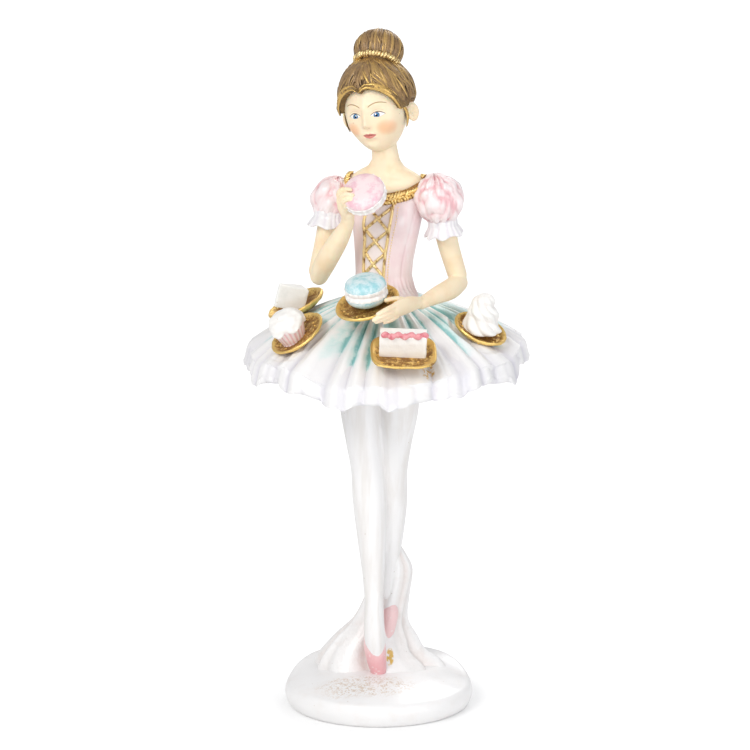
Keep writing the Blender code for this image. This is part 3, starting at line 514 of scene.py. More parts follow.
def face_paint(s):
    """Skin with blush, painted eyes, thin brows and rose lips."""
    p = Paint("face_skin", 0.46, subsurface=0.12)
    x, y, z = p.local(HEAD_CENTRE, HEAD_TURN)
    front = y.step(-5.0, -8.0)
    side = x.math("ABSOLUTE")
    cloud = p.noise(9.0)
    colour = p.mix(cloud.step(0.4, 0.75) * 0.35, tuple(s.skin), (0.82, 0.62, 0.42))
    cheek = ((side - 7.2) * (side - 7.2) / 13.0 + (z + 6.0) * (z + 6.0) / 10.0).step(1.5, 0.0)
    colour = p.mix(cheek * front * 0.62, colour, (0.88, 0.42, 0.20))
    # eyes: white almond, iris, pupil, light, lash line and crease
    ex, ez = (side - EYE[0]) / 2.55, z - EYE[1]
    upper = ez - (1.25 - ex * ex * 1.0 - ex * 0.10)
    lower = ez + (0.85 - ex * ex * 0.75)
    almond = upper.step(0.08, -0.08) * lower.step(-0.08, 0.08) * front
    colour = p.mix(almond, colour, (0.88, 0.87, 0.85))
    ix, iz = side - IRIS[0], z - IRIS[1]
    away = (ix * ix + iz * iz).math("SQRT")
    blue = p.mix(away.step(0.5, 1.15), (0.10, 0.30, 0.55), (0.03, 0.09, 0.22))
    colour = p.mix(away.step(1.24, 1.12) * almond, colour, blue)
    colour = p.mix(away.step(0.58, 0.46) * almond, colour, (0.01, 0.01, 0.02))
    gx, gz = ix + 0.35, iz - 0.42
    colour = p.mix((gx * gx + gz * gz).step(0.09, 0.04) * almond, colour, (1.0, 1.0, 1.0))
    wide = ex.math("ABSOLUTE")
    lash = (upper.math("ABSOLUTE") - (wide * -0.05 + 0.16)).step(0.09, -0.03) * wide.step(1.16, 1.02)
    colour = p.mix(lash * front * 0.95, colour, (0.10, 0.06, 0.04))
    under = (lower.math("ABSOLUTE") - 0.03).step(0.08, 0.0) * wide.step(1.08, 0.9)
    colour = p.mix(under * front * 0.5, colour, (0.45, 0.26, 0.18))
    crease = ((ez - (2.15 - ex * ex * 0.95)).math("ABSOLUTE") - 0.04).step(0.12, 0.0) * wide.step(1.05, 0.7)
    colour = p.mix(crease * front * 0.45, colour, (0.55, 0.30, 0.18))
    bx = (side - 5.2) / 3.4
    brow = ((z - (4.55 - bx * bx * 1.15 + bx * 0.25)).math("ABSOLUTE") - (0.17 - bx * 0.05)).step(0.10, -0.02)
    colour = p.mix(brow * bx.math("ABSOLUTE").step(1.1, 0.9) * front * 0.85, colour, (0.36, 0.20, 0.08))
    # lips
    lx, lz = side / 2.75, z - MOUTH_HEIGHT
    bow = lz - (0.98 - lx * lx * 0.85 - (side / 0.7).step(1.0, 0.0) * 0.22)
    below = lz + (1.15 - lx * lx * 1.12)
    lips = bow.step(0.12, -0.12) * below.step(-0.12, 0.12) * front
    colour = p.mix(lips * 0.9, colour, (0.62, 0.17, 0.15))
    seam = ((lz - lx * lx * 0.3).math("ABSOLUTE") - 0.05).step(0.10, 0.0) * lx.step(1.05, 0.9)
    colour = p.mix(seam * front * 0.75, colour, (0.34, 0.07, 0.07))
    nostril = ((side - 0.95) * (side - 0.95) / 0.16 + (z + 5.35) * (z + 5.35) / 0.05).step(1.0, 0.3)
    colour = p.mix(nostril * front * 0.4, colour, (0.50, 0.24, 0.14))
    colour = p.specked(colour, 5.5, 0.055, 0.5, (0.42, 0.27, 0.16))
    rough = 0.44 - almond * 0.26 - lips * 0.14
    return p.look(colour, rough, bump=p.noise(1.6, 3.0), depth_mm=0.03)


def pink_paint(name, s, deep):
    """Pearl pink: painted shade deepens the creases and painted highlights make the ridges nearly white."""
    p = Paint(name, 0.36, coat=0.3)
    folds, cloud, fine = p.attribute("shade"), p.noise(6.0), p.noise(1.5, 4.0)
    # Painted shade: deeper colour in the creases.
    crease = ((1 - folds) * 1.5 + (cloud - 0.5) * 1.1).clip()
    colour = p.mix(crease.step(0.35, 1.15) * 0.75, tuple(s.pink), deep)
    # Painted highlight: nearly white on the ridges.
    colour = p.mix((folds + cloud * 0.6).step(0.95, 1.35) * 0.6, colour, (0.91, 0.86, 0.87))
    colour = p.specked(colour, 5.0, 0.05, 0.6, (0.45, 0.22, 0.20))
    return p.look(colour, 0.30 + cloud * 0.14, bump=fine, depth_mm=0.06)


def shoe_paint():
    """Pink satin, deeper towards the toes, with worn white edges."""
    p = Paint("shoe_pink", 0.38, coat=0.2)
    height = p.local((0, 0, 0))[2]
    cloud, fine = p.noise(3.5), p.noise(1.2, 4.0)
    deep = (height.step(30.0, 17.0) * 0.6 + cloud * 0.6).step(0.3, 1.0)
    colour = p.mix(deep, (0.86, 0.60, 0.60), (0.80, 0.40, 0.42))
    colour = p.mix((fine * 0.7 + cloud * 0.5).step(0.68, 0.80) * 0.7, colour, (0.90, 0.84, 0.83))
    return p.look(colour, 0.34 + cloud * 0.14, bump=fine, depth_mm=0.08)


def bodice_paint(s):
    """Pale pink satin, near white on the laced panel."""
    p = Paint("bodice_pink", 0.36, coat=0.3)
    panel, cloud = p.attribute("reach"), p.noise(7.0)
    colour = p.mix(cloud.step(0.42, 0.75) * 0.5, tuple(s.pink), (0.83, 0.61, 0.64))
    # Painted shade in the gathers and folds, and a darker line along the side seams.
    colour = p.mix((1 - p.attribute("shade")) * 0.7, colour, (0.72, 0.42, 0.46))
    # Painted sheen: pale near-white streaks that run up and down.
    colour = p.mix(p.noise(5.0, 2.0, (1, 1, 0.35)).step(0.50, 0.66) * 0.55, colour, (0.90, 0.82, 0.82))
    colour = p.mix(panel * (0.55 + cloud * 0.3), colour, (0.88, 0.83, 0.82))
    return p.look(colour, 0.30 + cloud * 0.12, bump=p.noise(1.8, 4.0), depth_mm=0.06)


def tutu_paint(s):
    """Aqua wash that gathers in the pleats near the waist and fades to pearl white at the rim."""
    p = Paint("tutu_aqua", 0.36, coat=0.25)
    folds, wash = p.attribute("shade"), p.attribute("reach")
    cloud, patch = p.noise(4.0), p.noise(11.0, 2.0)
    uneven = (patch * 0.9 + cloud * 0.8).step(0.55, 1.1)
    # Painted shade: violet-grey in the creases where there is no wash.
    colour = p.mix((1 - folds) * (1 - wash) * 0.6, tuple(s.pearl), (0.64, 0.62, 0.69))
    colour = p.mix((wash * (0.45 + uneven)).step(0.05, 0.75) * 0.8, colour, tuple(s.aqua))
    colour = p.mix((wash * (1.35 - folds) * (0.35 + uneven)).step(0.30, 0.85) * 0.85, colour, tuple(s.teal))
    colour = p.mix((patch * 0.5 + cloud * 0.5).step(0.52, 0.68) * folds * 0.55, colour, tuple(s.pearl))
    colour = p.specked(colour, 5.0, 0.05, 0.7, (0.45, 0.33, 0.22))
    x, y, z = p.local((19.5, -49.0, 151.0))
    smear = ((x * x) / 9.0 + (y * y + z * z) / 22.0 + cloud * 1.4).step(1.7, 1.1)
    colour = p.mix(smear * p.noise(1.1, 4.0).step(0.50, 0.60), colour, (0.62, 0.38, 0.08))
    return p.look(colour, 0.32 + cloud * 0.14, bump=p.noise(1.3, 4.0) + cloud * 0.6, depth_mm=0.10)


def gold_paint(s, name="antique_gold", pale=0.0):
    """Antique gold: bright on the ridges, brown in the pits, gritty. pale lightens it, as on the laces."""
    p = Paint(name, 0.38, 0.85)
    grit, cloud, folds = p.noise(0.9, 5.0, rough=0.65), p.noise(3.0, 3.0), p.attribute("shade")
    worn = (grit * 0.7 + cloud * 0.5 + folds * 0.45 - 0.25).step(0.34, 0.70)
    bright = [c + pale * (top - c) for c, top in zip(s.gold, (1.0, 0.86, 0.52))]
    colour = p.mix(worn, (0.30, 0.14, 0.035), tuple(bright))
    # Painted glints: flecks of pale gold where the grit is high.
    colour = p.mix((grit + cloud * 0.4).step(0.78, 0.92) * 0.7, colour, (0.98, 0.80, 0.42))
    return p.look(colour, 0.50 - worn * 0.18, 0.55 + worn * 0.35, bump=grit + cloud * 0.8, depth_mm=0.30)


def hair_paint(s):
    """Brown, with gold brushed along the strands."""
    p = Paint("hair_brown", 0.40, 0.15, coat=0.1)
    folds, lock = p.attribute("shade"), p.attribute("reach")
    cloud, fine = p.noise(4.0), p.noise(0.8, 4.0)
    # Painted highlight: lighter brown on the ridges.
    lit = (folds * 0.8 + cloud * 1.1 + fine * 0.5).step(1.15, 1.65)
    colour = p.mix(lit * 0.65, tuple(s.hair), (0.38, 0.225, 0.09))
    # Painted shade: near black in the creases between strands.
    colour = p.mix((1 - folds).step(0.45, 0.95) * 0.75, colour, (0.055, 0.028, 0.012))
    bright = (lock * 0.95 + (folds + cloud * 0.8).step(1.45, 1.65) * 0.6).clip()
    colour = p.mix(bright * (0.45 + fine * 0.6), colour, (0.86, 0.56, 0.17))
    return p.look(colour, 0.44 - bright * 0.1, 0.12 + bright * 0.55, bump=fine, depth_mm=0.06)


def shell_paint(name, light, deep, patch_size=4.5):
    p = Paint(name, 0.48, coat=0.1)
    cloud, fine = p.noise(patch_size), p.noise(0.9, 5.0)
    colour = p.mix((cloud * 0.85 + fine * 0.3).step(0.50, 0.74), light, deep)
    colour = p.mix((fine * 0.6 + p.noise(7.0) * 0.6).step(0.66, 0.8) * 0.6, colour, (0.88, 0.86, 0.87))
    return p.look(colour, 0.42 + cloud * 0.15, bump=fine + cloud, depth_mm=0.14)


def cream_paint(name, s, shade_colour, depth_mm=0.14):
    p = Paint(name, 0.44, coat=0.1)
    folds, cloud, fine = p.attribute("shade"), p.noise(4.0), p.noise(0.9, 5.0)
    # dirt here is painted shade where the shade value is low, in folds and on block sides, plus random darker
    # tone.
    dirt = ((1 - folds) * 0.8 + cloud.step(0.5, 0.8) * 0.35).clip()
    colour = p.mix(dirt, tuple(s.cream), shade_colour)
    colour = p.specked(colour, 4.0, 0.06, 0.7, (0.50, 0.34, 0.18))
    return p.look(colour, 0.40 + cloud * 0.15, bump=fine + cloud, depth_mm=depth_mm)


# Sizes shared by the pieces: millimetres and degrees
HEAD_CENTRE = (-0.6, 0.5, 248.6)
HEAD_TURN = (4.0, -8.0, -22.0)
TORSO_TURN = -29.0
TUTU_CENTRE = (2.8, 0.5)
BASE_EDGE = 9.6
BASE_TOP = 14.6


# The base, the drapery and the legs

def base_shape(s):
    edge_r = s.base_radius / MM
    inset = ((2.6, 0), (1.6, 0.7), (0.7, 2.2), (0.1, 4.2), (0, 5.6), (0.3, 7.4), (0.9, 8.8), (1.7, BASE_EDGE),
             (2.4, BASE_EDGE + 0.05))
    edge = [(0, 0)] + [(edge_r - near, z) for near, z in inset]
    reach, rim = edge[-1]
    dome = [(reach * k, rim + (BASE_TOP - BASE_EDGE) * (1 - k**2.4)) for k in np.linspace(0.985, 0, 60)]
    rows = edge[:2] + [tuple(spline(edge[1:], np.array([t]))[0]) for t in np.linspace(0.02, 0.98, 50)] + dome
    turned_base = lathe(rows)

    def shape(u, v):
        points = turned_base(u, v)
        rough = lumps(points, 6.0, 1.0) * 0.16 * step(0.5, 2.0, points[:, 2])
        points[:, 2] += rough * step(9.0, 10.5, points[:, 2])
        girth = 1 + (0.002 * lumps(points, 7.0, 4.0) - 0.002) * step(0.2, 2.0, points[:, 2])
        points[:, :2] *= girth[:, None]
        share = np.hypot(points[:, 0], points[:, 1]) / edge_r
        points[:, 2] += 5.2 * step(2, 30, points[:, 1]) * share**2 * step(3.0, 9.0, points[:, 2])
        return points

    return shape


# The drapery behind the legs: height, centre x and y, half-width, half-depth
DRAPERY = ((8.0, 0.0, 10.0, 27.0, 19.0), (14.5, -1.0, 10.5, 24.5, 17.0), (20.0, -2.8, 10.5, 19.5, 14.0),
           (26.0, -1.8, 10.5, 15.6, 11.5), (33.0, 0.2, 11.0, 10.8, 9.5), (43.0, 3.2, 11.0, 9.0, 8.0),
           (54.0, 5.6, 10.5, 8.2, 6.6), (61.0, 5.6, 9.5, 5.6, 5.2), (67.0, 5.0, 8.5, 2.6, 3.0))
DRAPERY_FOLDS = ((5, 0.4, 1.0), (9, 2.1, 0.75), (14, 4.0, 0.3))


def drapery_shape(u, v):
    rows = np.array(DRAPERY)
    level = np.clip((v - 0.06) / 0.88, 0, 1)
    z = spline(rows[:, 0], level)
    x, y, a, b = (spline(rows[:, k], level) for k in range(1, 5))
    angle = 2 * np.pi * u
    grow = 0.35 + 0.65 * step(60, 14, z)
    fold = sum(size * np.sin(count * angle + phase + 0.035 * z * (1 if count == 5 else -1))
               for count, phase, size in DRAPERY_FOLDS)
    fold = fold + 0.22 * (groove(angle * 23 / (2 * np.pi) + 0.02 * z, 1.2) - 0.5) * step(12, 22, z)
    shut = np.minimum(step(0, 0.05, v), step(1, 0.95, v))
    r = 1 + 0.085 * fold * grow
    points = np.column_stack([x + shut * a * r * np.cos(angle), y + shut * b * r * np.sin(angle), z])
    return points, np.clip(0.72 + 0.3 * fold, 0, 1), None


LEG_FRONT = ((-8.2, 1.0, 150.0), (-8.1, 0.5, 138.0), (-8.0, 0.0, 125.0), (-6.4, -1.2, 112.0),
             (-4.9, -2.0, 100.0), (-4.0, -1.6, 87.0), (-2.9, -1.8, 70.0), (-2.3, -3.2, 56.0),
             (-2.0, -4.4, 44.0))
LEG_BACK = ((8.4, 1.5, 150.0), (8.3, 1.5, 138.0), (8.2, 2.0, 124.0), (6.6, 3.0, 111.0), (5.4, 4.0, 98.0),
            (5.0, 6.2, 84.5), (4.3, 7.2, 71.0), (3.6, 7.2, 58.0), (3.0, 6.6, 45.0))


def add_legs(piece):
    piece.form(limb(LEG_FRONT, (9.6, 8.9, 7.9, 7.2, 6.6, 6.8, 5.9, 4.6, 3.9), 1.06), 64, 120)
    piece.form(limb(LEG_BACK, (9.6, 8.9, 8.0, 7.1, 6.4, 6.7, 6.0, 4.7, 3.8), 1.06), 64, 120)
    foot = ((-2.0, -4.2, 47.0), (-2.0, -5.4, 38.0), (-1.7, -6.4, 29.0), (-1.0, -6.4, 21.0))
    piece.form(limb(foot, (3.8, 4.2, 4.3, 3.7), 1.25), 48, 48)


def add_shoes(piece):
    vamp = ((-2.0, -5.4, 29.5), (-1.6, -6.2, 25.0), (-0.9, -6.6, 19.6), (-0.2, -6.3, 15.6))
    piece.form(limb(vamp, (4.1, 4.5, 4.0, 3.4), 1.1), 48, 40)
    heel = ((-2.0, -1.2, 40.0), (-1.8, -2.6, 33.0), (-1.5, -4.4, 26.0))
    piece.form(limb(heel, (2.6, 3.0, 3.2), 1.1), 40, 28)
    back = ((4.6, 5.4, 41.0), (4.6, 5.0, 37.2), (3.9, 3.8, 32.0), (2.9, 2.6, 27.0), (2.2, 1.8, 23.0))
    piece.form(limb(back, (2.5, 3.6, 3.3, 2.9, 2.4), 1.15), 48, 48)


# The tutu

TUTU_TOP = ((0.0, 177.0), (0.16, 175.6), (0.24, 172.4), (0.34, 170.0), (0.48, 167.0), (0.64, 163.2),
            (0.80, 158.8), (0.92, 155.0), (1.0, 152.0))
TUTU_UNDERSIDE = 146.4
FRILL_ROOT = 143.5


def tutu_slow(share, angle):
    """Height of the tutu's upper side without its pleats."""
    rows = np.array(TUTU_TOP)
    front = np.clip(-np.sin(angle), 0, 1)
    drop = (6.2 * front**1.5 - 1.5 * np.cos(angle)) * np.clip(share, 0, 1) ** 2
    sway = 1.3 * np.sin(5 * angle + 0.6) + 0.9 * np.sin(8 * angle + 2.2)
    return np.interp(share, rows[:, 0], rows[:, 1]) - drop + sway * np.clip(share, 0, 1) ** 3


def pleats(share, angle, count):
    """Fold height of the pleats, 0 to 1: broad ridges, narrow creases and a finer crease between some."""
    slow = angle + 0.05 * np.sin(7 * angle) + 0.03 * np.sin(11 * angle + 1) + 0.012 * np.sin(17 * angle + 2)
    turns = slow * count / (2 * np.pi) + 0.25 * (share - 0.5) * np.sin(3 * angle + 0.5)
    main = groove(turns, 2.2)
    fine = groove(turns * 2.5 + 0.8 * np.sin(5 * angle), 2.2)
    return main * (0.78 + 0.22 * fine), main


def tutu_wash(share, angle, main):
    """How much aqua wash lies at a point: it runs out along the pleats, further along some than others."""
    uneven = np.sin(9 * angle + 1.0) * np.sin(5 * angle + 0.4) + 0.6 * np.sin(17 * angle + 2.0)
    length = 0.73 + 0.20 * uneven
    streak = 0.5 + 0.5 * np.sin(31 * angle + 2.4 * np.sin(4 * angle))
    run = step(length + 0.28, length - 0.25, share)
    wash = np.clip(run * (0.20 + 0.60 * streak * (0.6 + 0.4 * uneven) + 1.2 * (1 - main)), 0, 1)
    return wash * step(0.97, 0.80, share)


def pressed(points):
    """The tutu's surface, kept below each plate that lies on it."""
    for plate in list(PLATES.values())[1:]:
        normal = unit(plate["normal"])
        rise = (points - plate["centre"]) @ normal
        across = np.linalg.norm(points - plate["centre"] - np.outer(rise, normal), axis=1) / plate["radius"]
        points = points - np.outer(np.clip(rise + 0.5, 0, None) * step(1.28, 0.97, across), normal)
    return points


def tutu_shape(s, split=0.72):
    count = s.tutu_pleats

    def shape(u, v):
        angle = 2 * np.pi * u
        share = np.where(v < split, np.clip(v / split, 0, 1), np.clip((1 - v) / (1 - split), 0, 1))
        fold, main = pleats(share, angle, count)
        rise = (0.6 + 2.1 * share) * step(0.14, 0.4, share) * (fold - 0.6) * (1 - 0.4 * step(0.8, 1, share))
        z = tutu_slow(share, angle) + rise
        rim = 1 + 0.016 * rise * share
        under = TUTU_UNDERSIDE + (z - TUTU_UNDERSIDE - 3.4) * step(0.72, 1, share)
        r = s.tutu_radius / MM * share * rim
        z = np.where(v < split, z, np.minimum(under, z - 1.5))
        points = ring(r, angle, z) + (*TUTU_CENTRE, 0)
        points[v < split] = pressed(points[v < split])
        shade = np.clip(fold * 1.1, 0, 1) * step(0.10, 0.2, share) + (1 - step(0.10, 0.2, share)) * 0.3
        return points, shade, tutu_wash(share, angle, main)

    return shape


def frill_shape(s, split=0.62):
    """The ruffled petticoat whose scallops show under the pleated layer."""

    def shape(u, v):
        angle = 2 * np.pi * u
        share = np.where(v < split, np.clip(v / split, 0, 1), np.clip((1 - v) / (1 - split), 0, 1))
        share = 1 - (1 - share) ** 1.6
        rim_z = tutu_slow(np.ones_like(angle), angle)
        run = 14 * angle + 1.2 * np.sin(3 * angle) + 0.7 * np.sin(5 * angle + 1)
        wave = np.sin(run)
        near = np.clip(share * (1 + 1.6 * MM / s.tutu_radius), 0, 1)
        fold, _ = pleats(near, angle, s.tutu_pleats)
        crest = (0.6 + 2.1 * near) * (fold - 0.6) * (1 - 0.4 * step(0.8, 1, near))
        small = groove(angle * 46 / (2 * np.pi) + 0.1 * np.sin(5 * angle), 2.0)
        out, hang = step(0.6, 1, share), step(0.965, 1, share)
        ruffle = 0.020 * np.cos(14 * angle + 1.2 * np.sin(3 * angle) + 1.2) + 0.012 * (small - 0.6)
        r = (s.tutu_radius / MM + 1.6) * share * (1 + (ruffle + 0.014 * (fold - 0.6)) * out)
        top = tutu_slow(near, angle) + crest - 0.35
        drop = 5.3 + 0.6 * np.clip(-np.sin(angle), 0, 1)
        above = FRILL_ROOT + (top - FRILL_ROOT) * step(0.3, 0.85, share) - drop * hang
        below = FRILL_ROOT + (rim_z - 7.4 - FRILL_ROOT) * step(0.3, 1, share)
        z = np.where(v < split, above, np.minimum(below, above - 1.5 * (1 - hang)))
        z = z + (1.3 * wave + 1.1 * (fold - 0.5) + 0.9 * (0.5 - small)) * hang
        points = ring(r, angle, z) + (*TUTU_CENTRE, 0)
        return points, np.clip(0.10 + 0.65 * fold + 0.35 * small, 0, 1), share

    return shape


# The body

TORSO = ((160.0, 2.4, 0.5, 15.5, 13.5), (166.0, 2.5, 0.4, 14.4, 12.4), (172.0, 2.4, 0.2, 13.8, 11.0),
         (176.0, 2.1, 0.0, 12.4, 9.9), (181.0, 2.0, 0.0, 11.7, 9.2), (187.0, 2.2, 0.0, 12.1, 9.2),
         (194.0, 2.6, 0.0, 13.0, 9.5), (201.0, 3.0, 0.0, 14.0, 9.7), (208.0, 3.4, 0.3, 15.0, 9.1),
         (214.0, 3.7, 0.6, 16.4, 8.4), (218.5, 3.6, 0.9, 17.0, 7.6), (221.0, 3.5, 1.0, 15.8, 6.8),
         (223.2, 3.2, 1.0, 12.2, 6.3), (225.2, 3.0, 0.9, 8.3, 6.0), (228.0, 2.8, 0.6, 6.4, 5.8),
         (233.0, 2.2, 0.2, 5.8, 5.8), (241.0, 1.0, 0.8, 6.0, 6.4))
BUST_HEIGHT = 204.0


def panel_edge(z):
    """Half the front panel's angle at height z."""
    return np.radians(np.interp(z, (176, 211), (22.0, 18.5)))


def torso_point(phi, z, proud=0.0):
    """A point of the body at phi round from the front, and at height z, this far proud of the skin."""
    rows = np.array(TORSO)
    x0, y0, a, b = (np.interp(z, rows[:, 0], rows[:, k]) for k in range(1, 5))
    bust = sum(1.9 * bell(phi, side * 0.52, 0.36) * bell(z, BUST_HEIGHT, 5.0) for side in (-1, 1))
    x, y = (a + proud + bust) * np.sin(phi), -(b + proud + bust) * np.cos(phi)
    turn = math.radians(TORSO_TURN) * step(164, 180, z) + math.radians(9) * step(182, 212, z)
    return np.column_stack([x0 + x * np.cos(turn) - y * np.sin(turn),
                            y0 + x * np.sin(turn) + y * np.cos(turn), z])


def neckline(phi):
    rise = 8.6 * np.abs(np.sin(phi)) ** 3 + 2.6 * (1 - np.cos(phi)) / 2
    return 211.0 + rise + 2.8 * bell(phi, 0.35, 0.65)


def chest_shape(u, v):
    phi = 2 * np.pi * (u - 0.5)
    z = 200 + 40 * np.clip((v - 0.04) / 0.92, 0, 1)
    shut = np.minimum(step(0, 0.03, v), step(1, 0.97, v))[:, None]
    points = torso_point(phi, z, -0.7)
    side = math.radians(TORSO_TURN)
    across = (points[:, 0] - 3.4) * math.cos(side) + (points[:, 1] - 0.8) * math.sin(side)
    bone = bell(np.abs(across), 5.6, 3.6) * bell(points[:, 2], 222.0 - 0.05 * np.abs(across), 0.9)
    push = 0.45 * bone * (np.cos(phi) > 0)
    points[:, 1] -= push
    return points * shut + torso_point(phi * 0, z, -9) * (1 - shut)


def bodice_shape(u, v):
    phi = 2 * np.pi * (u - 0.5)
    top = neckline(phi)
    z = 160 + (top - 160) * np.clip((v - 0.05) / 0.85, 0, 1)
    shut = np.minimum(step(0, 0.04, v), step(1, 0.91, v))[:, None]
    middle = np.array([3.4, 0.6, 0]) + np.column_stack([z * 0, z * 0, z - 2 * step(0.9, 1, v)])
    panel = step(0.02, -0.02, np.abs(phi) - panel_edge(z)) * step(176, 178, z)
    gather = groove(phi * 34 / (2 * np.pi), 2.0)
    near_waist = bell(z, 176.5, 3.4)
    seam = sum(bell(phi, side * 1.05, 0.03) for side in (-1, 1))
    folds = 0.12 * np.sin(7 * phi + 0.12 * z) * bell(z, 186, 9) * (1 - panel)
    proud = 0.3 - 0.35 * panel + 0.45 * (gather - 0.5) * near_waist
    proud = proud - 0.25 * seam * (1 - near_waist) + folds * 0.5
    points = torso_point(phi, z, 0.0) + (torso_point(phi, z, 1.0) - torso_point(phi, z, 0.0)) * proud[:, None]
    shade = np.clip(1 - 0.6 * (1 - gather) * near_waist - 0.5 * seam - 0.5 * np.clip(-folds * 3, 0, 1), 0, 1)
    return points * shut + middle * (1 - shut), shade, panel


def grit(u, v):
    """The uneven swell of thickly laid gold paint along a line."""
    swell = np.sin(31 * v + 1.0) * np.sin(12 * v + 5 * u) + 0.5 * np.sin(67 * v + 9 * u)
    return 0.10 * swell, np.clip(0.7 + 0.4 * swell, 0, 1)


def add_lacing(piece):
    """Gold piping down both sides of the panel, crossed laces and the beads of stitches beside them."""
    low, high = 172.4, 210.0
    for side in (-1, 1):
        z = np.linspace(low + 3, high + 3, 14)
        edge = torso_point(side * (panel_edge(z) + 0.02), z, 0.45)
        piece.form(limb(edge, np.full(14, 0.6), relief=grit), 10, 90)
    crosses = 4
    pitch = (high - low) / crosses
    for k in range(crosses):
        for side in (-1, 1):
            t = np.linspace(0, 1, 9)
            rise = low + pitch * (k + t)
            path = torso_point(side * panel_edge(rise) * (2 * t - 1), rise, 0.1 + 0.3 * np.sin(np.pi * t))
            piece.form(limb(path, np.full(9, 0.62), relief=grit), 10, 40)
    for z in np.arange(178.0, 210.0, 1.1):
        spot = torso_point(panel_edge(z) + np.array([0.16]), np.array([z]), 0.34)[0]
        piece.ball(lambda d, c=spot: d * 0.30 + c, 2)


def band_shade(u, v):
    """No relief, and dark throughout, as between the leaves of the braid."""
    return 0 * u, 0 * u


def leaf_shade(u, v):
    """No relief, and bright but for the ends."""
    return 0 * u, 0.35 + bell(v, 0.55, 0.3)


def add_braid(piece):
    """The gold braid round the neckline: a flat band covered with curled leaves."""
    turns = np.linspace(-math.pi, math.pi, 97)
    wide = 1.7 + 0.7 * np.cos(turns - 0.5)
    edge = torso_point(turns, neckline(turns) - 0.2 * wide, 0.4)
    piece.form(limb(edge, wide, 0.5, (0, 0, 1), band_shade), 16, 220)
    draw = np.random.default_rng(4)
    for phi in np.arange(-math.pi, math.pi, 0.075):
        spread = 0.75 + 0.5 * (1 + math.cos(phi - 0.5)) / 2
        for row in (-1.0, 0.0, 1.0):
            lean = (1.8 * row + draw.uniform(-1.5, 1.5)) * (0.65 + 0.35 * math.cos(2 * phi))
            long = draw.uniform(0.05, 0.085)
            middle = neckline(phi) + spread * (row * 1.25 - 0.3)
            points = [torso_point(np.array([phi + 0.025 * row + long * t]),
                                  np.array([middle + lean * (t - 0.5)]), proud)[0]
                      for t, proud in ((-0.5, 0.8), (0.0, 1.5), (0.5, 1.3), (1.0, 0.7))]
            piece.form(limb(points, (0.3, 0.62, 0.58, 0.28), relief=leaf_shade), 6, 10)


SLEEVES = {
    "viewer_left": dict(puff=(-18.8, 6.2, 210.4), size=(8.7, 8.9, 9.7), lean=(-8.0, 14.0, 0.0),
                        cuff=(-20.4, 3.6, 204.4), cuff_axis=(-0.12, -0.08, -0.99), cuff_radius=7.1),
    "viewer_right": dict(puff=(24.2, -7.5, 213.0), size=(10.0, 9.8, 10.4), lean=(6.0, -12.0, 0.0),
                         cuff=(25.8, -7.0, 203.0), cuff_axis=(0.12, 0.1, -0.98), cuff_radius=7.0),
}


def puff_shape(puff, size, lean, seed):
    """A puffed sleeve, its gathers drawn in at the shoulder and at the cuff and crushed between."""

    def shape(u, v):
        polar, angle = np.pi * v, 2 * np.pi * u
        warp = angle + 0.35 * np.sin(2 * angle + 3.0 * v + seed) + 0.5 * (v - 0.5)
        stray = 0.25 * lumps(np.column_stack([v, warp, v]), 0.6, seed)
        long_fold = groove(warp * 9 / (2 * np.pi) + stray, 1.6)
        fine_fold = groove(warp * 23 / (2 * np.pi) + 0.3 * np.sin(9 * v), 1.6)
        ends = np.abs(np.cos(polar)) ** 1.2
        d = sphere(polar, angle)
        crush = lumps(d, 0.34, seed) * (1 - ends * 0.6)
        ripple = np.abs(lumps(d * (1.3, 1.3, 0.7), 0.34, seed + 2)) ** 0.7
        small = np.abs(lumps(d * (1.4, 1.4, 0.6), 0.15, seed + 5)) ** 0.7
        r = 1 + 0.09 * (long_fold - 0.6) * (0.25 + 0.75 * ends) + 0.04 * (fine_fold - 0.6) * ends
        r = r + 0.03 * crush + 0.13 * (ripple - 0.5) * (1 - 0.7 * ends)
        r = r + 0.03 * (small - 0.5) * (1 - 0.5 * ends)
        shade = 0.24 + 0.66 * ripple + 0.28 * small + 0.45 * (long_fold - 0.6) * (0.3 + 0.7 * ends)
        shade = np.clip(shade + 0.15 * crush, 0, 1)
        return placed(d * np.array(size) * r[:, None], puff, turned(lean)), shade, None

    return shape


def cuff_shape(cuff, cuff_axis, cuff_radius, seed):
    frame = facing(cuff_axis)

    def shape(u, v):
        angle = 2 * np.pi * u
        along = spline((-2.4, -2.4, 0.6, 2.7, 4.2, 4.6, 3.6, 3.6), v)
        radius = spline((0.0, 0.78, 0.86, 1.03, 1.12, 1.02, 0.6, 0.0), v) * cuff_radius
        flare = step(0.2, 0.6, v) * step(1, 0.75, v)
        wave = np.sin(7 * angle + 0.9 * np.sin(2 * angle + seed)) * flare
        small = groove(angle * 15 / (2 * np.pi) + 0.35 * np.sin(3 * angle + seed), 1.6)
        fluting = 0.045 * (small - 0.6) * step(0.05, 0.3, v) * step(1, 0.8, v)
        radius = closed(radius, v) * (1 + 0.05 * wave + fluting)
        shade = np.clip(0.5 + small * 0.45 + 0.1 * wave, 0, 1)
        return placed(ring(radius, angle, along + 0.5 * wave), cuff, frame), shade, None

    return shape


# The arms and hands

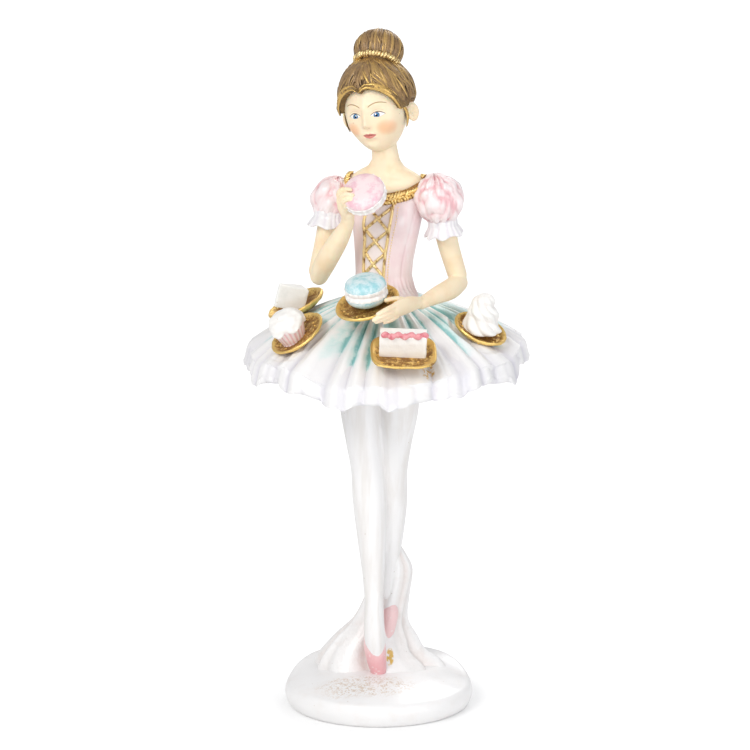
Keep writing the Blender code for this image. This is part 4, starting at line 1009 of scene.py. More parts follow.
ARMS = {
    "raised": dict(upper=((-19.0, 5.5, 208.0), (-21.4, 2.5, 195.0), (-24.4, -0.5, 182.5)),
                   upper_radius=(4.7, 4.5, 4.1),
                   lower=((-24.3, -1.4, 180.4), (-21.4, -6.8, 187.5), (-16.3, -12.8, 197.0),
                          (-12.8, -17.6, 204.6), (-12.5, -20.2, 209.4)),
                   lower_radius=(3.7, 4.4, 3.9, 2.8, 2.7)),
    "serving": dict(upper=((25.6, -6.5, 207.0), (27.8, -4.5, 195.0), (31.8, -1.5, 181.0)),
                    upper_radius=(4.8, 4.3, 3.9),
                    lower=((32.2, -2.2, 177.8), (28.6, -9.5, 176.4), (23.0, -17.8, 175.4),
                           (16.8, -26.0, 173.8)),
                    lower_radius=(3.9, 4.2, 3.5, 2.3)),
}
HANDS = {
    "raised": dict(palm=((-12.6, -20.0, 208.8), (-13.7, -22.0, 212.6), (-14.4, -23.6, 215.6)),
                   palm_radius=(2.9, 3.4, 3.2), palm_flat=0.72, palm_side=(0.55, 0.75, 0.3),
                   fingers=(((-15.4, -24.4, 215.2), (-16.0, -25.8, 218.2), (-14.4, -27.0, 220.1),
                             (-11.4, -26.8, 219.9)),
                            ((-14.8, -24.7, 214.1), (-15.1, -26.7, 216.8), (-13.3, -28.4, 218.4),
                             (-10.5, -28.4, 218.0)),
                            ((-13.9, -24.8, 213.0), (-14.0, -27.0, 215.1), (-12.4, -28.5, 216.4),
                             (-10.2, -28.6, 216.0)),
                            ((-12.8, -24.6, 211.8), (-12.8, -26.6, 213.4), (-11.6, -28.0, 214.4),
                             (-10.2, -28.2, 214.2)),
                            ((-12.2, -21.4, 211.6), (-10.2, -20.6, 213.8), (-8.6, -20.4, 215.4))),
                   finger_radius=1.06),
    "serving": dict(palm=((16.0, -27.4, 174.4), (10.8, -35.7, 174.8), (6.8, -41.6, 174.4)),
                    palm_radius=(2.5, 3.7, 3.4), palm_flat=0.62, palm_side=(0.3, 0.1, 0.95),
                    fingers=(((12.2, -33.6, 175.6), (8.6, -36.6, 177.6), (5.4, -38.6, 178.0),
                              (2.8, -39.4, 177.6)),
                             ((6.8, -42.6, 176.2), (3.8, -46.4, 175.6), (1.2, -48.4, 174.6),
                              (-0.4, -49.0, 173.8)),
                             ((6.2, -43.0, 174.5), (2.9, -46.8, 173.5), (-0.4, -48.8, 172.4),
                              (-2.0, -49.2, 171.6)),
                             ((6.4, -42.4, 173.0), (3.1, -46.0, 172.0), (0.2, -47.8, 171.2),
                              (-1.2, -48.2, 170.7)),
                             ((7.0, -41.2, 171.8), (4.6, -44.2, 170.7), (2.2, -45.8, 170.1))),
                    finger_radius=1.1),
}


def add_arm(piece, upper, upper_radius, lower, lower_radius):
    piece.form(limb(upper, upper_radius, 1.0, (1, 0, 0)), 48, 60)
    piece.form(limb(lower, lower_radius, 1.0, (0, 1, 0)), 48, 60)


def add_hand(piece, palm, palm_radius, palm_flat, palm_side, fingers, finger_radius):
    piece.form(limb(palm, palm_radius, palm_flat, palm_side), 36, 32)
    for path in fingers:
        radii = np.linspace(finger_radius * 1.08, finger_radius * 0.86, len(path))
        piece.form(limb(path, radii), 20, 40)


# The head

# Sculpting strokes on the face: place, spread and push in the head's own frame, and whether mirrored
FACE = (
    ((4.9, -12.6, 0.4), (3.3, 4.0, 2.3), (0, 1.5, 0), True),
    ((4.9, -12.2, -0.2), (2.3, 3.0, 1.45), (0, -1.25, 0), True),
    ((4.8, -12.8, 3.6), (4.0, 4.0, 1.6), (0, -0.55, 0), True),
    ((0, -13.6, 1.0), (1.3, 5.0, 3.6), (0, -0.9, 0), False),
    ((0, -14.4, -2.6), (1.25, 5.0, 2.6), (0, -1.6, 0), False),
    ((0, -14.8, -4.1), (1.35, 5.0, 1.05), (0, -1.1, 0), False),
    ((1.35, -14.0, -4.5), (0.7, 5.0, 0.75), (0, -0.7, 0), True),
    ((0, -13.8, -7.8), (2.3, 5.0, 0.65), (0, -0.7, 0), False),
    ((0, -13.6, -9.4), (1.9, 5.0, 0.75), (0, -0.8, 0), False),
    ((0, -13.6, -8.6), (2.5, 5.0, 0.22), (0, 0.5, 0), False),
    ((0, -13.0, -11.4), (2.6, 5.0, 1.0), (0, 0.5, 0), False),
    ((0, -12.0, -14.4), (3.3, 5.0, 2.4), (0, -1.2, -0.3), False),
    ((7.6, -9.6, -5.2), (3.6, 4.5, 3.6), (0.5, -0.7, 0), True),
    ((0, -13.0, 9.0), (8.0, 5.0, 5.0), (0, -0.5, 0), False),
)


def head_place(points):
    return placed(points, HEAD_CENTRE, turned(HEAD_TURN))


def head_form(d):
    """The head in its own frame: an egg narrowing to the jaw, then the strokes of the face."""
    low = step(0.15, -1.0, d[:, 2])
    x = 13.1 * d[:, 0] * (1 - 0.15 * low)
    y = np.where(d[:, 1] > 0, 14.6 * (1 - 0.55 * low), 13.9 * (1 - 0.06 * low)) * d[:, 1]
    points = np.column_stack([x, y - 1.2 * low, 17.4 * d[:, 2]])
    start = points.copy()
    front = step(-3, -8, start[:, 1])
    for place, spread, push, both in FACE:
        for side in ((-1, 1) if both else (1,)):
            gap = (start - np.array(place) * (side, 1, 1)) / np.array(spread)
            weight = np.exp(-(gap**2).sum(1)) * front
            points += weight[:, None] * np.array(push) * (side, 1, 1)
    return points


def ear_form(side):
    def shape(d):
        points = np.array(d) * (1.4, 3.0, 4.0)
        rim = bell(np.hypot(d[:, 1] / 0.95, d[:, 2]), 0.62, 0.17)
        dish = np.exp(-(((d[:, 1] + 0.15) / 0.5) ** 2 + ((d[:, 2] - 0.1) / 0.55) ** 2))
        points[:, 0] += (0.25 * rim - 1.2 * dish) * (d[:, 0] > 0)
        points[:, 1] *= 1 - 0.12 * step(0, -1, d[:, 2])
        points = placed(points, (0, 0, 0), turned((6, -4, -36)))
        return head_place((points + (14.4, 1.0, -2.6)) * (side, 1, 1))

    return shape


HAIR_AXIS = unit((0.0, 0.34, 0.94))
HAIR_SIZE = (15.0, 16.4, 17.4)
HAIR_MIDDLE = (0.0, 1.2, 3.4)
PART_X = -1.0


def hair_frame():
    x = np.array([1.0, 0, 0])
    return np.column_stack([x, np.cross(HAIR_AXIS, x), HAIR_AXIS])


def hairline(points):
    """How far a point is behind the hairline, in about millimetres: negative on the face and the nape."""
    x, y, z = points.T
    dip = 1.5 * bell(x, PART_X, 1.6)
    face = 12.0 * ((np.abs(x) / 12.6) ** 2.5 + (np.abs(z + 3.0) / (13.6 - dip)) ** 2.5 - 1)
    face = np.where(y < -1.0, face, 12.0) + 4.0 * step(-4.0, 0.0, y)
    nape = z - 2.8 + 0.9 * np.clip(y - 2.5, 0, 16) + 2.6 * step(-0.5, -3.5, y)
    return np.minimum(face, nape * 1.2)


def nape_tuck(points):
    """How far the hair draws in towards the neck above its lower edge at the back."""
    return 2.6 * step(8.0, 0.5, hairline(points)) * step(1.0, 8.0, points[:, 1])


def hair_form(u, v):
    """Hair combed from the part and the hairline up and back to the bun, in locks and finer strands."""
    polar, angle = np.pi * v, 2 * np.pi * u
    d = sphere(polar, angle) @ hair_frame().T
    points = d * HAIR_SIZE + HAIR_MIDDLE
    inside = hairline(points)
    cover = step(-0.35, 0.55, inside)
    # strands leave the part and the hairline outwards, then rise to the bun
    across = points[:, 0] - PART_X
    ahead = step(2.0, -8.0, points[:, 1])
    phi = (angle - 0.5 * np.pi) % (2 * np.pi) - np.pi
    sweep = (phi - 0.85 * step(0.25, 1.35, polar) * np.sin(phi)) * 30 / (2 * np.pi)
    sweep = sweep + 0.35 * lumps(points, 9.0, 3.0)
    lock = groove(sweep * 0.5 + 0.15 * np.sin(7 * polar), 1.8)
    strand = groove(sweep * 2 + 0.3 * np.sin(4 * polar + angle), 1.6)
    fine = groove(sweep * 5 + 0.4 * np.sin(6 * polar + 3 * angle), 1.5)
    # the locks that frame the face follow the hairline
    framing = step(4.2, 2.4, inside) * ahead
    border = groove(inside / 1.05 + 0.15 * np.sin(angle * 9), 1.5)
    relief = (0.80 * (lock - 0.6) + 0.55 * (strand - 0.6) + 0.20 * (fine - 0.6)) * step(0.16, 0.4, polar)
    relief = relief * (1 - framing) + framing * (0.55 * (border - 0.5) + 0.16 * (strand - 0.5) + 0.55)
    ridge = 0.5 * bell(inside, 1.5, 1.0)
    lift = cover * (0.35 + relief + ridge) - (1 - cover) * 4.6 - nape_tuck(points)
    parting = 0.9 * bell(across, 0, 0.45) * ahead * step(0.5, 1.5, inside)
    shade = np.clip(0.18 + 0.42 * lock + 0.36 * strand + 0.18 * fine, 0, 1) * (1 - framing)
    shade = shade + framing * np.clip(0.1 + 0.5 * border, 0, 1) - 0.5 * bell(across, 0, 0.5) * ahead
    points = points + d * (lift - parting)[:, None]
    return head_place(points), np.clip(shade * step(-0.2, 0.5, inside), 0, 1), 0.35 * framing * border


def hair_point(polar, angle, proud):
    """A point this far above the hair's cap, at polar from the bun's side, and its outward direction."""
    polar, angle = np.asarray(polar, float), np.asarray(angle, float)
    d = sphere(polar, angle) @ hair_frame().T
    points, out = d * HAIR_SIZE + HAIR_MIDDLE, unit(d / HAIR_SIZE)
    return points + out * np.reshape(proud - nape_tuck(points), (-1, 1)), out


def edge_polar(angle, inside):
    """Where the meridian at this angle comes this far behind the hairline, from the bun downwards."""
    polar = np.linspace(0.3, 2.6, 140)
    far = hairline(hair_point(polar, np.full(140, angle), np.zeros(140))[0])
    below = np.flatnonzero(far < inside)
    return polar[below[0]] if len(below) else polar[-1]


def strand_shape(path, out, radii, lit):
    """A hair lock: pointed at both ends, ridged on top, with painted shade where it meets its neighbours."""
    t = np.linspace(0, 1, len(path))
    tangent = unit(np.gradient(path, axis=0))
    side = unit(np.cross(tangent, out))

    def shape(u, v):
        angle = 2 * np.pi * u
        centre, up, across = (np.column_stack([np.interp(v, t, rows[:, k]) for k in range(3)])
                              for rows in (path, out, side))
        r = np.interp(v, np.linspace(0, 1, len(radii)), radii) * np.sin(np.pi * np.clip(v, 0, 1)) ** 0.35
        r = closed(r, v)
        lift = np.sin(angle)
        ridge = 1 + 0.10 * np.cos(6 * angle)
        r = r * ridge
        points = centre + across * (r * np.cos(angle))[:, None] + up * (0.75 * r * lift)[:, None]
        # Painted shade: the shade value falls towards the lock's sides.
        shade = np.clip(0.05 + 0.95 * lift + 0.12 * np.cos(6 * angle), 0, 1)
        return head_place(points), shade, np.clip(lit * (0.1 + lift), 0, 1)

    return shape


# Locks and short tufts combed to the bun, and the locks and loose tips wound over it
LOCKS, TUFTS = 96, 230
WOUND_LOCKS, LOOSE_TIPS = 50, 100


def add_locks(piece):
    """Locks combed back to the bun, short tufts over them, and the gold locks along the hairline."""
    draw = np.random.default_rng(12)
    for k in range(LOCKS):
        angle = 2 * math.pi * (k + draw.uniform(-0.3, 0.3)) / LOCKS
        low = edge_polar(angle, draw.uniform(1.6, 4.0))
        high = draw.uniform(0.40, 0.52)
        t = np.linspace(0, 1, 24)
        bend = draw.uniform(-0.10, 0.10)
        polar = low + (high - low) * t
        turn = angle + bend * np.sin(np.pi * t) - 0.8 * math.cos(angle) * t**0.8 + 0.05 * np.sin(8 * t + k)
        path, out = hair_point(polar, turn, 0.30 + 0.25 * np.sin(np.pi * t))
        wide, lit = draw.uniform(0.7, 1.1), draw.uniform(0, 0.9) ** 2.5
        piece.form(strand_shape(path, out, (0.5, wide, 0.45), lit), 8, 22)
    for _ in range(TUFTS):
        angle = draw.uniform(0, 2 * math.pi)
        low = edge_polar(angle, 2.4)
        start = low - draw.uniform(0.0, 0.85) * (low - 0.5)
        t = np.linspace(0, 1, 12)
        polar = start - draw.uniform(0.22, 0.50) * t
        turn = angle + (draw.uniform(-0.15, 0.15) - 0.5 * math.cos(angle)) * t
        path, out = hair_point(np.maximum(polar, 0.32), turn, 0.50 + draw.uniform(0.2, 0.9) * t**2)
        wide, lit = draw.uniform(0.30, 0.60), draw.uniform(0, 1.2) ** 2
        piece.form(strand_shape(path, out, (0.42, wide, 0.16), lit), 6, 12)
    for side in (-1, 1):
        for shift, size in ((0.0, 0.75), (0.9, 0.6)):
            t = np.linspace(0, 1, 16)
            path = spline(((10.6, -7.4 + shift, 4.6), (12.4, -4.2 + shift, 1.6), (13.3, -2.6 + shift, -2.2),
                           (13.1, -2.5 + shift, -5.6), (12.3, -2.9 + shift, -8.2)), t) * (side, 1, 1)
            out = unit(path * (1, 1, 0) + (0, 0, 0.1))
            piece.form(strand_shape(path, out, (0.5, size, size * 0.8, 0.3), 1.2), 10, 30)
    middle = math.atan2(-1.0, PART_X / 12)
    for side in (-1, 1):
        for inside, size, end in ((0.5, 0.76, 1.30), (1.9, 0.84, 1.22), (3.3, 0.74, 1.02)):
            t = np.linspace(0, 1, 40)
            turn = middle + side * (0.03 + end * t)
            polar = np.array([edge_polar(a, inside + 0.25 * math.sin(7 * k)) for k, a in zip(t, turn)])
            path, out = hair_point(polar, turn, 0.80 + 0.2 * np.sin(11 * t + inside))
            piece.form(strand_shape(path, out, (0.5, size, size, 0.35), 1.5), 10, 64)


BUN_CENTRE = (1.7, 6.4, 22.2)
BUN_SIZE = (9.9, 9.2, 8.8)
BUN_AXIS = (0.05, 0.62, 0.78)


def bun_form(u, v):
    polar, angle = np.pi * v, 2 * np.pi * u
    d = sphere(polar, angle)
    sweep = angle * 24 / (2 * np.pi) + 1.1 * (v - 0.3) + 0.25 * lumps(d, 0.9, 2.0)
    lock = groove(sweep * 0.5, 1.8)
    strand = groove(sweep * 2 + 0.3 * np.sin(6 * v + angle), 1.6)
    fine = groove(sweep * 5, 1.5)
    r = 1 + (0.055 * (lock - 0.6) + 0.028 * (strand - 0.6) + 0.01 * (fine - 0.6)) * np.sin(polar) ** 0.7
    points = placed(d * np.array(BUN_SIZE) * r[:, None], BUN_CENTRE, facing(BUN_AXIS))
    return head_place(points), np.clip(0.15 + 0.45 * lock + 0.38 * strand + 0.18 * fine, 0, 1), None


def add_bun_locks(piece):
    """Locks wound over the bun from the tie to its crown, with a few loose tips."""
    draw = np.random.default_rng(21)
    frame = facing(BUN_AXIS)
    for k in range(WOUND_LOCKS + LOOSE_TIPS):
        wound = k < WOUND_LOCKS
        angle = 2 * math.pi * k / WOUND_LOCKS + draw.uniform(-0.1, 0.1)
        start, long = (2.15, 1.9) if wound else (draw.uniform(0.9, 2.1), draw.uniform(0.4, 0.8))
        t = np.linspace(0, 1, 16)
        polar = start - long * t
        turn = angle + draw.uniform(-0.25, 0.1) * t
        out = sphere(polar, turn)
        lift = draw.uniform(0.0, 0.2) + (0 if wound else draw.uniform(0.1, 0.6) * t**2)
        path = placed(out * (np.array(BUN_SIZE) - 0.1 + np.reshape(lift + 0 * t, (-1, 1))), BUN_CENTRE, frame)
        size = draw.uniform(0.5, 0.8) if wound else draw.uniform(0.28, 0.5)
        radii, lit = (0.6 * size, size, 0.3 * size), draw.uniform(0, 0.95) ** 3
        piece.form(strand_shape(path, out @ frame.T, radii, lit), 6, 16)


def add_tie(piece):
    """The gold tie round the bun: a lumpy twisted cord."""
    turns = np.linspace(0, 2 * math.pi, 97)
    cord = np.column_stack([8.5 * np.cos(turns), 8.0 * np.sin(turns), np.full(97, -5.0)])
    cord = placed(cord, BUN_CENTRE, facing(BUN_AXIS))
    behind = np.clip(cord[:, 1] - BUN_CENTRE[1], 0, None)
    cord = head_place(cord + np.column_stack([0 * behind, 0.12 * behind, 0.24 * behind]))

    def relief(u, v):
        twist = groove(u + v * 46, 1.5)
        lump = np.sin(v * 230) * np.sin(u * 19) + np.sin(v * 97 + 4 * u)
        return 0.30 * (twist - 0.5) + 0.13 * lump, np.clip(twist + 0.1 * lump, 0, 1)

    piece.form(limb(cord, np.full(97, 1.15), 1.0, (0, 0, 1), relief), 16, 480)


# The plates and sweets

PLATES = {
    "held": dict(centre=(-4.0, -33.0, 173.4), normal=(-0.26, -0.33, 0.91), radius=13.2),
    "cake": dict(centre=(9.6, -46.0, 156.2), normal=(0.03, -0.36, 0.93), radius=13.2, depth=0.9, spin=2.0,
                 stretch=(1.0, 0.92), power=3.4, foot=3.0),
    "cupcake": dict(centre=(-31.6, -22.8, 159.2), normal=(-0.52, -0.33, 0.79), radius=12.0,
                    stretch=(1.0, 0.94), foot=2.6),
    "slice": dict(centre=(-32.6, 7.0, 164.6), normal=(-0.42, -0.14, 0.90), radius=12.4, depth=1.3,
                  stretch=(1.0, 0.94), foot=2.6),
    "meringue": dict(centre=(40.0, -15.6, 159.2), normal=(0.35, -0.34, 0.87), radius=11.3, depth=1.1,
                     stretch=(1.0, 0.94), foot=2.6),
}


def dish_shape(centre, normal, radius, depth=1.0, spin=0.0, stretch=(1, 1), power=2.0, foot=0.0):
    frame = facing(normal, spin)
    profile = ((0.0, -foot), (0.30, -foot), (0.34, -0.4), (0.62, 0.0), (0.90, 1.3 * depth),
               (0.985, 2.1 * depth), (1.0, 2.7 * depth), (0.96, 3.2 * depth), (0.89, 2.8 * depth),
               (0.76, 1.5 * depth), (0.0, 1.3 * depth))
    turned_dish = lathe([(r * radius, h) for r, h in profile])

    def shape(u, v):
        points = turned_dish(u, v)
        angle = 2 * np.pi * u
        square = (np.abs(np.cos(angle)) ** power + np.abs(np.sin(angle)) ** power) ** (-1 / power)
        points[:, 0] *= square * stretch[0]
        points[:, 1] *= square * stretch[1]
        share = np.hypot(points[:, 0], points[:, 1]) / radius
        points[:, 2] += 0.18 * lumps(points, 1.6, radius)
        shade = np.clip(0.2 + 0.9 * bell(share, 0.97, 0.10) + 0.25 * lumps(points, 1.2, 3.0), 0, 1)
        return placed(points, centre, frame), shade, None

    return shape


def seat_of(plate):
    p = PLATES[plate]
    frame = facing(p["normal"], p.get("spin", 0.0))
    return frame, np.asarray(p["centre"]) + frame[:, 2] * 1.3 * p.get("depth", 1.0)


def shell_shape(centre, normal, radius, height, side):
    """One domed macaron shell, with its ruffled foot left to the filling."""
    frame = facing(normal)
    half = height / 2
    profile = ((0.0, 0.16), (0.86, 0.16), (0.97, 0.24), (1.0, 0.40), (0.95, 0.62), (0.80, 0.82),
               (0.52, 0.95), (0.0, 1.0))
    rows = [(r * radius, side * h * half) for r, h in profile]
    knots = rows if side > 0 else rows[::-1]
    fine = [tuple(spline(knots, np.array([t]))[0]) for t in np.linspace(0, 1, 60)]
    turned_shell = lathe([(max(r, 0.0), h) for r, h in fine])

    def shape(u, v):
        points = turned_shell(u, v)
        points = points * (1 + 0.012 * lumps(points, 2.2, side + radius))[:, None]
        return placed(points, centre, frame)

    return shape


def filling_shape(centre, normal, radius, height):
    """The ruffled feet of the shells and the cream between."""
    frame = facing(normal)

    def shape(u, v):
        angle = 2 * np.pi * u
        ruffle = np.sin(17 * angle + 1.5 * np.sin(3 * angle)) + 0.6 * np.sin(31 * angle + 2)
        r = spline((0, 0.93, 1.03, 1.0, 0.94, 1.0, 1.03, 0.93, 0.0), v) * radius
        r = closed(r, v) * (1 + 0.022 * ruffle * bell(np.abs(v - 0.5), 0.18, 0.16))
        z = spline((-0.34, -0.33, -0.24, -0.10, 0.0, 0.10, 0.24, 0.33, 0.34), v) * height / 2
        z = z + 0.12 * ruffle * np.sign(v - 0.5) * bell(np.abs(v - 0.5), 0.25, 0.12)
        shade = np.clip(0.75 + 0.2 * ruffle - 0.6 * bell(v, 0.5, 0.05), 0, 1)
        return placed(ring(r, angle, z), centre, frame), shade, None

    return shape


def case_shape(foot, normal, radius, height):
    """The fluted paper case of the cupcake."""
    frame = facing(normal)

    def shape(u, v):
        angle = 2 * np.pi * u
        flute = groove(angle * 20 / (2 * np.pi), 1.8)
        r = spline((0, 0.70, 0.74, 0.88, 1.0, 0.92, 0), v) * radius * (1 + 0.06 * (flute - 0.6))
        z = spline((0, 0, 0.04, 0.30, 0.50, 0.54, 0.56), v) * height
        return placed(ring(closed(r, v), angle, z), foot, frame), flute, None

    return shape


def icing_shape(foot, normal, radius, height):
    """The lumpy domed icing that spills over the case."""
    frame = facing(normal)

    def shape(u, v):
        angle = 2 * np.pi * u
        drip = np.sin(5 * angle + 1.0) + 0.6 * np.sin(8 * angle)
        r = spline((0, 0.92, 1.08, 1.06, 0.86, 0.50, 0), v) * radius * (1 + 0.03 * drip * step(0.9, 0.3, v))
        z = spline((0.40, 0.42, 0.50, 0.68, 0.86, 0.97, 1.0), v) * height - 0.5 * drip * step(0.6, 0.2, v)
        points = ring(closed(r, v), angle, z)
        bumpy = lumps(points, 1.7, 5.0)
        out = points - (0, 0, 0.6 * height)
        points = points + unit(out + 1e-9) * (0.45 * bumpy * step(0.1, 0.35, v))[:, None]
        return placed(points, foot, frame), np.clip(0.7 + 0.4 * bumpy, 0, 1), None

    return shape


def meringue_shape(foot, normal, radius, height):
    """A piped rosette: ropes of cream winding up in three tiers to a curled tip."""
    frame = facing(normal)

    def shape(u, v):
        angle = 2 * np.pi * u
        r = spline((0, 0.96, 1.04, 0.90, 0.86, 0.66, 0.62, 0.34, 0), v) * radius
        z = spline((0, 0.02, 0.16, 0.36, 0.54, 0.68, 0.84, 0.96, 1.0), v) * height
        rope = groove(7 * u + 3.6 * v, 1.7)
        tier = groove(v * 3.2 + u, 1.6)
        r = r * (1 + (0.16 * (rope - 0.5) + 0.14 * (tier - 0.6)) * step(0, 0.2, v))
        points = ring(closed(r, v), angle, z)
        points[:, 0] += 1.2 * step(0.7, 1.0, v)
        return placed(points, foot, frame), np.clip(0.15 + 0.55 * rope + 0.45 * tier, 0, 1), None

    return shape


# Crumbs: the plate, how many, the shares of its radius between which they lie, and their seed
CRUMBS = (("meringue", 26, 0.60, 0.86, 3), ("held", 20, 0.62, 0.86, 5), ("cake", 22, 0.62, 0.92, 7),
          ("cupcake", 12, 0.60, 0.84, 11))


def add_crumbs(piece, plate, count, inner, outer, seed, size=0.55):
    """Gilded crumbs scattered on the plate, round the sweet."""
    frame, seat = seat_of(plate)
    p = PLATES[plate]
    draw = np.random.default_rng(seed)
    for _ in range(count):
        angle = draw.uniform(0, 2 * math.pi)
        r = draw.uniform(inner, outer) * p["radius"]
        grain = draw.uniform(0.6, 1.2, 3) * size
        spot = seat + frame @ np.array((r * math.cos(angle), r * math.sin(angle), 0.1))
        piece.ball(lambda d, g=grain, c=spot: d * g * (1 + 0.2 * lumps(d, 0.6, g[0] * 9))[:, None] + c, 2)


# The colours and sizes that can be set

def colour_property(name, description, default):
    return bpy.props.FloatVectorProperty(name=name, description=description, subtype="COLOR", size=3,
                                         default=default, min=0, max=1)


class FigurineSettings(bpy.types.PropertyGroup):
    base_radius: bpy.props.FloatProperty(name="Base radius",
                                         description="Radius of the round base at its widest",
                                         default=0.0390, min=0.02, max=0.08, unit="LENGTH")
    tutu_radius: bpy.props.FloatProperty(name="Tutu radius", description="Radius of the tutu's pleated layer",
                                         default=0.0556, min=0.03, max=0.1, unit="LENGTH")
    tutu_pleats: bpy.props.IntProperty(name="Tutu pleats", description="Number of pleats round the tutu",
                                       default=30, min=12, max=60)
    pearl: colour_property("Pearl white", "Paint of the base, drapery, tights and frill", (0.87, 0.86, 0.855))
    skin: colour_property("Skin", "Paint of the face, neck and arms", (0.92, 0.78, 0.56))
    pink: colour_property("Pink", "Paint of the bodice and sleeves", (0.89, 0.73, 0.73))
    aqua: colour_property("Aqua", "Pale wash over the tutu", (0.56, 0.77, 0.76))
    teal: colour_property("Teal", "Deep wash in the tutu's pleats", (0.20, 0.50, 0.50))
    gold: colour_property("Gold", "Antique gold of the plates, braid and laces", (0.90, 0.62, 0.20))
    hair: colour_property("Hair", "Brown of the hair", (0.150, 0.086, 0.038))
    cream: colour_property("Cream", "White of the sweets", (0.92, 0.91, 0.88))


class FIGURINE_OT_base(bpy.types.Operator):
    """Build the round base and the drapery behind the legs"""
    bl_idname = "figurine.base"
    bl_label = "Base and drapery"
    bl_options = {"REGISTER", "UNDO"}

    def execute(self, context):
        s = context.scene.figurine
        Piece("base").form(base_shape(s), 120, 84).finish(base_paint(s))
        Piece("drapery").form(drapery_shape, 190, 96).finish(drapery_paint(s))
        return {"FINISHED"}


class FIGURINE_OT_legs(bpy.types.Operator):
    """Build the legs in tights and the pointe shoes"""
    bl_idname = "figurine.legs"
    bl_label = "Legs and shoes"
    bl_options = {"REGISTER", "UNDO"}

    def execute(self, context):
        s = context.scene.figurine
        Piece("legs").filled(add_legs).finish(tights_paint(s), fuse=0.68, smooth=3)
        Piece("shoes").filled(add_shoes).finish(shoe_paint(), fuse=0.36, smooth=2)
        return {"FINISHED"}


class FIGURINE_OT_tutu(bpy.types.Operator):
    """Build the pleated tutu and the ruffled frill under it"""
    bl_idname = "figurine.tutu"
    bl_label = "Tutu"
    bl_options = {"REGISTER", "UNDO"}

    def execute(self, context):
        s = context.scene.figurine
        Piece("tutu").form(tutu_shape(s), 540, 84).finish(tutu_paint(s))
        # The frill's pearl paint takes painted lilac-grey shade in its folds.
        pearl_with_lilac_shade = pearl_paint("frill_pearl", s, (0.62, 0.60, 0.68), 0.05)
        Piece("frill").form(frill_shape(s), 480, 52).finish(pearl_with_lilac_shade)
        return {"FINISHED"}


class FIGURINE_OT_dress(bpy.types.Operator):
    """Build the bodice with its laces and braid, the puffed sleeves and the cuffs"""
    bl_idname = "figurine.dress"
    bl_label = "Bodice and sleeves"
    bl_options = {"REGISTER", "UNDO"}

    def execute(self, context):
        s = context.scene.figurine
        gold = gold_paint(s, "lace_gold", 0.55)
        Piece("bodice").form(bodice_shape, 160, 84).finish(bodice_paint(s))
        Piece("lacing").filled(add_lacing).finish(gold)
        Piece("braid").filled(add_braid).finish(gold_paint(s, "braid_gold", 0.25))
        satin = pink_paint("sleeve_pink", s, (0.76, 0.34, 0.38))
        white = pearl_paint("cuff_pearl", s, (0.66, 0.58, 0.68))
        for k, (side, o) in enumerate(SLEEVES.items()):
            puff = puff_shape(o["puff"], o["size"], o["lean"], 1.0 + k)
            Piece("sleeve_" + side).form(puff, 160, 90).finish(satin)
            cuff = cuff_shape(o["cuff"], o["cuff_axis"], o["cuff_radius"], k)
            Piece("cuff_" + side).form(cuff, 190, 36).finish(white)
        return {"FINISHED"}


class FIGURINE_OT_arms(bpy.types.Operator):
    """Build both arms and hands"""
    bl_idname = "figurine.arms"
    bl_label = "Arms and hands"
    bl_options = {"REGISTER", "UNDO"}

    def execute(self, context):
        s = context.scene.figurine
        skin = skin_paint("arm_skin", s)
        for name in ARMS:
            Piece("arm_" + name).filled(add_arm, **ARMS[name]).finish(skin, fuse=0.45, smooth=3)
            share = np.linspace(0.76, 1, 6)
            wrist = spline(ARMS[name]["lower"], share)
            thick = spline(ARMS[name]["lower_radius"], share) * np.linspace(0.86, 1.05, 6)
            hand = Piece("hand_" + name).form(limb(wrist, thick), 60, 40)
            hand.filled(add_hand, **HANDS[name]).finish(skin, fuse=0.24, smooth=2)
        return {"FINISHED"}


class FIGURINE_OT_head(bpy.types.Operator):
    """Build the head, neck, ears, combed hair, bun and tie"""
    bl_idname = "figurine.head"
    bl_label = "Head and hair"
    bl_options = {"REGISTER", "UNDO"}

    def execute(self, context):
        s = context.scene.figurine
        Piece("chest").form(chest_shape, 100, 64).finish(skin_paint("chest_skin", s))
        Piece("head").ball(lambda d: head_place(head_form(unit(d - (0, 0.45, 0)))), 6).finish(face_paint(s))
        ears = Piece("ears")
        for side in (-1, 1):
            ears.ball(ear_form(side), 5)
        ears.finish(skin_paint("ear_skin", s))
        hair = hair_paint(s)
        Piece("hair").form(hair_form, 250, 110).finish(hair)
        Piece("hair_locks").filled(add_locks).finish(hair)
        Piece("bun").form(bun_form, 180, 66).finish(hair)
        Piece("bun_locks").filled(add_bun_locks).finish(hair)
        Piece("tie").filled(add_tie).finish(gold_paint(s, "tie_gold", 0.5))
        return {"FINISHED"}


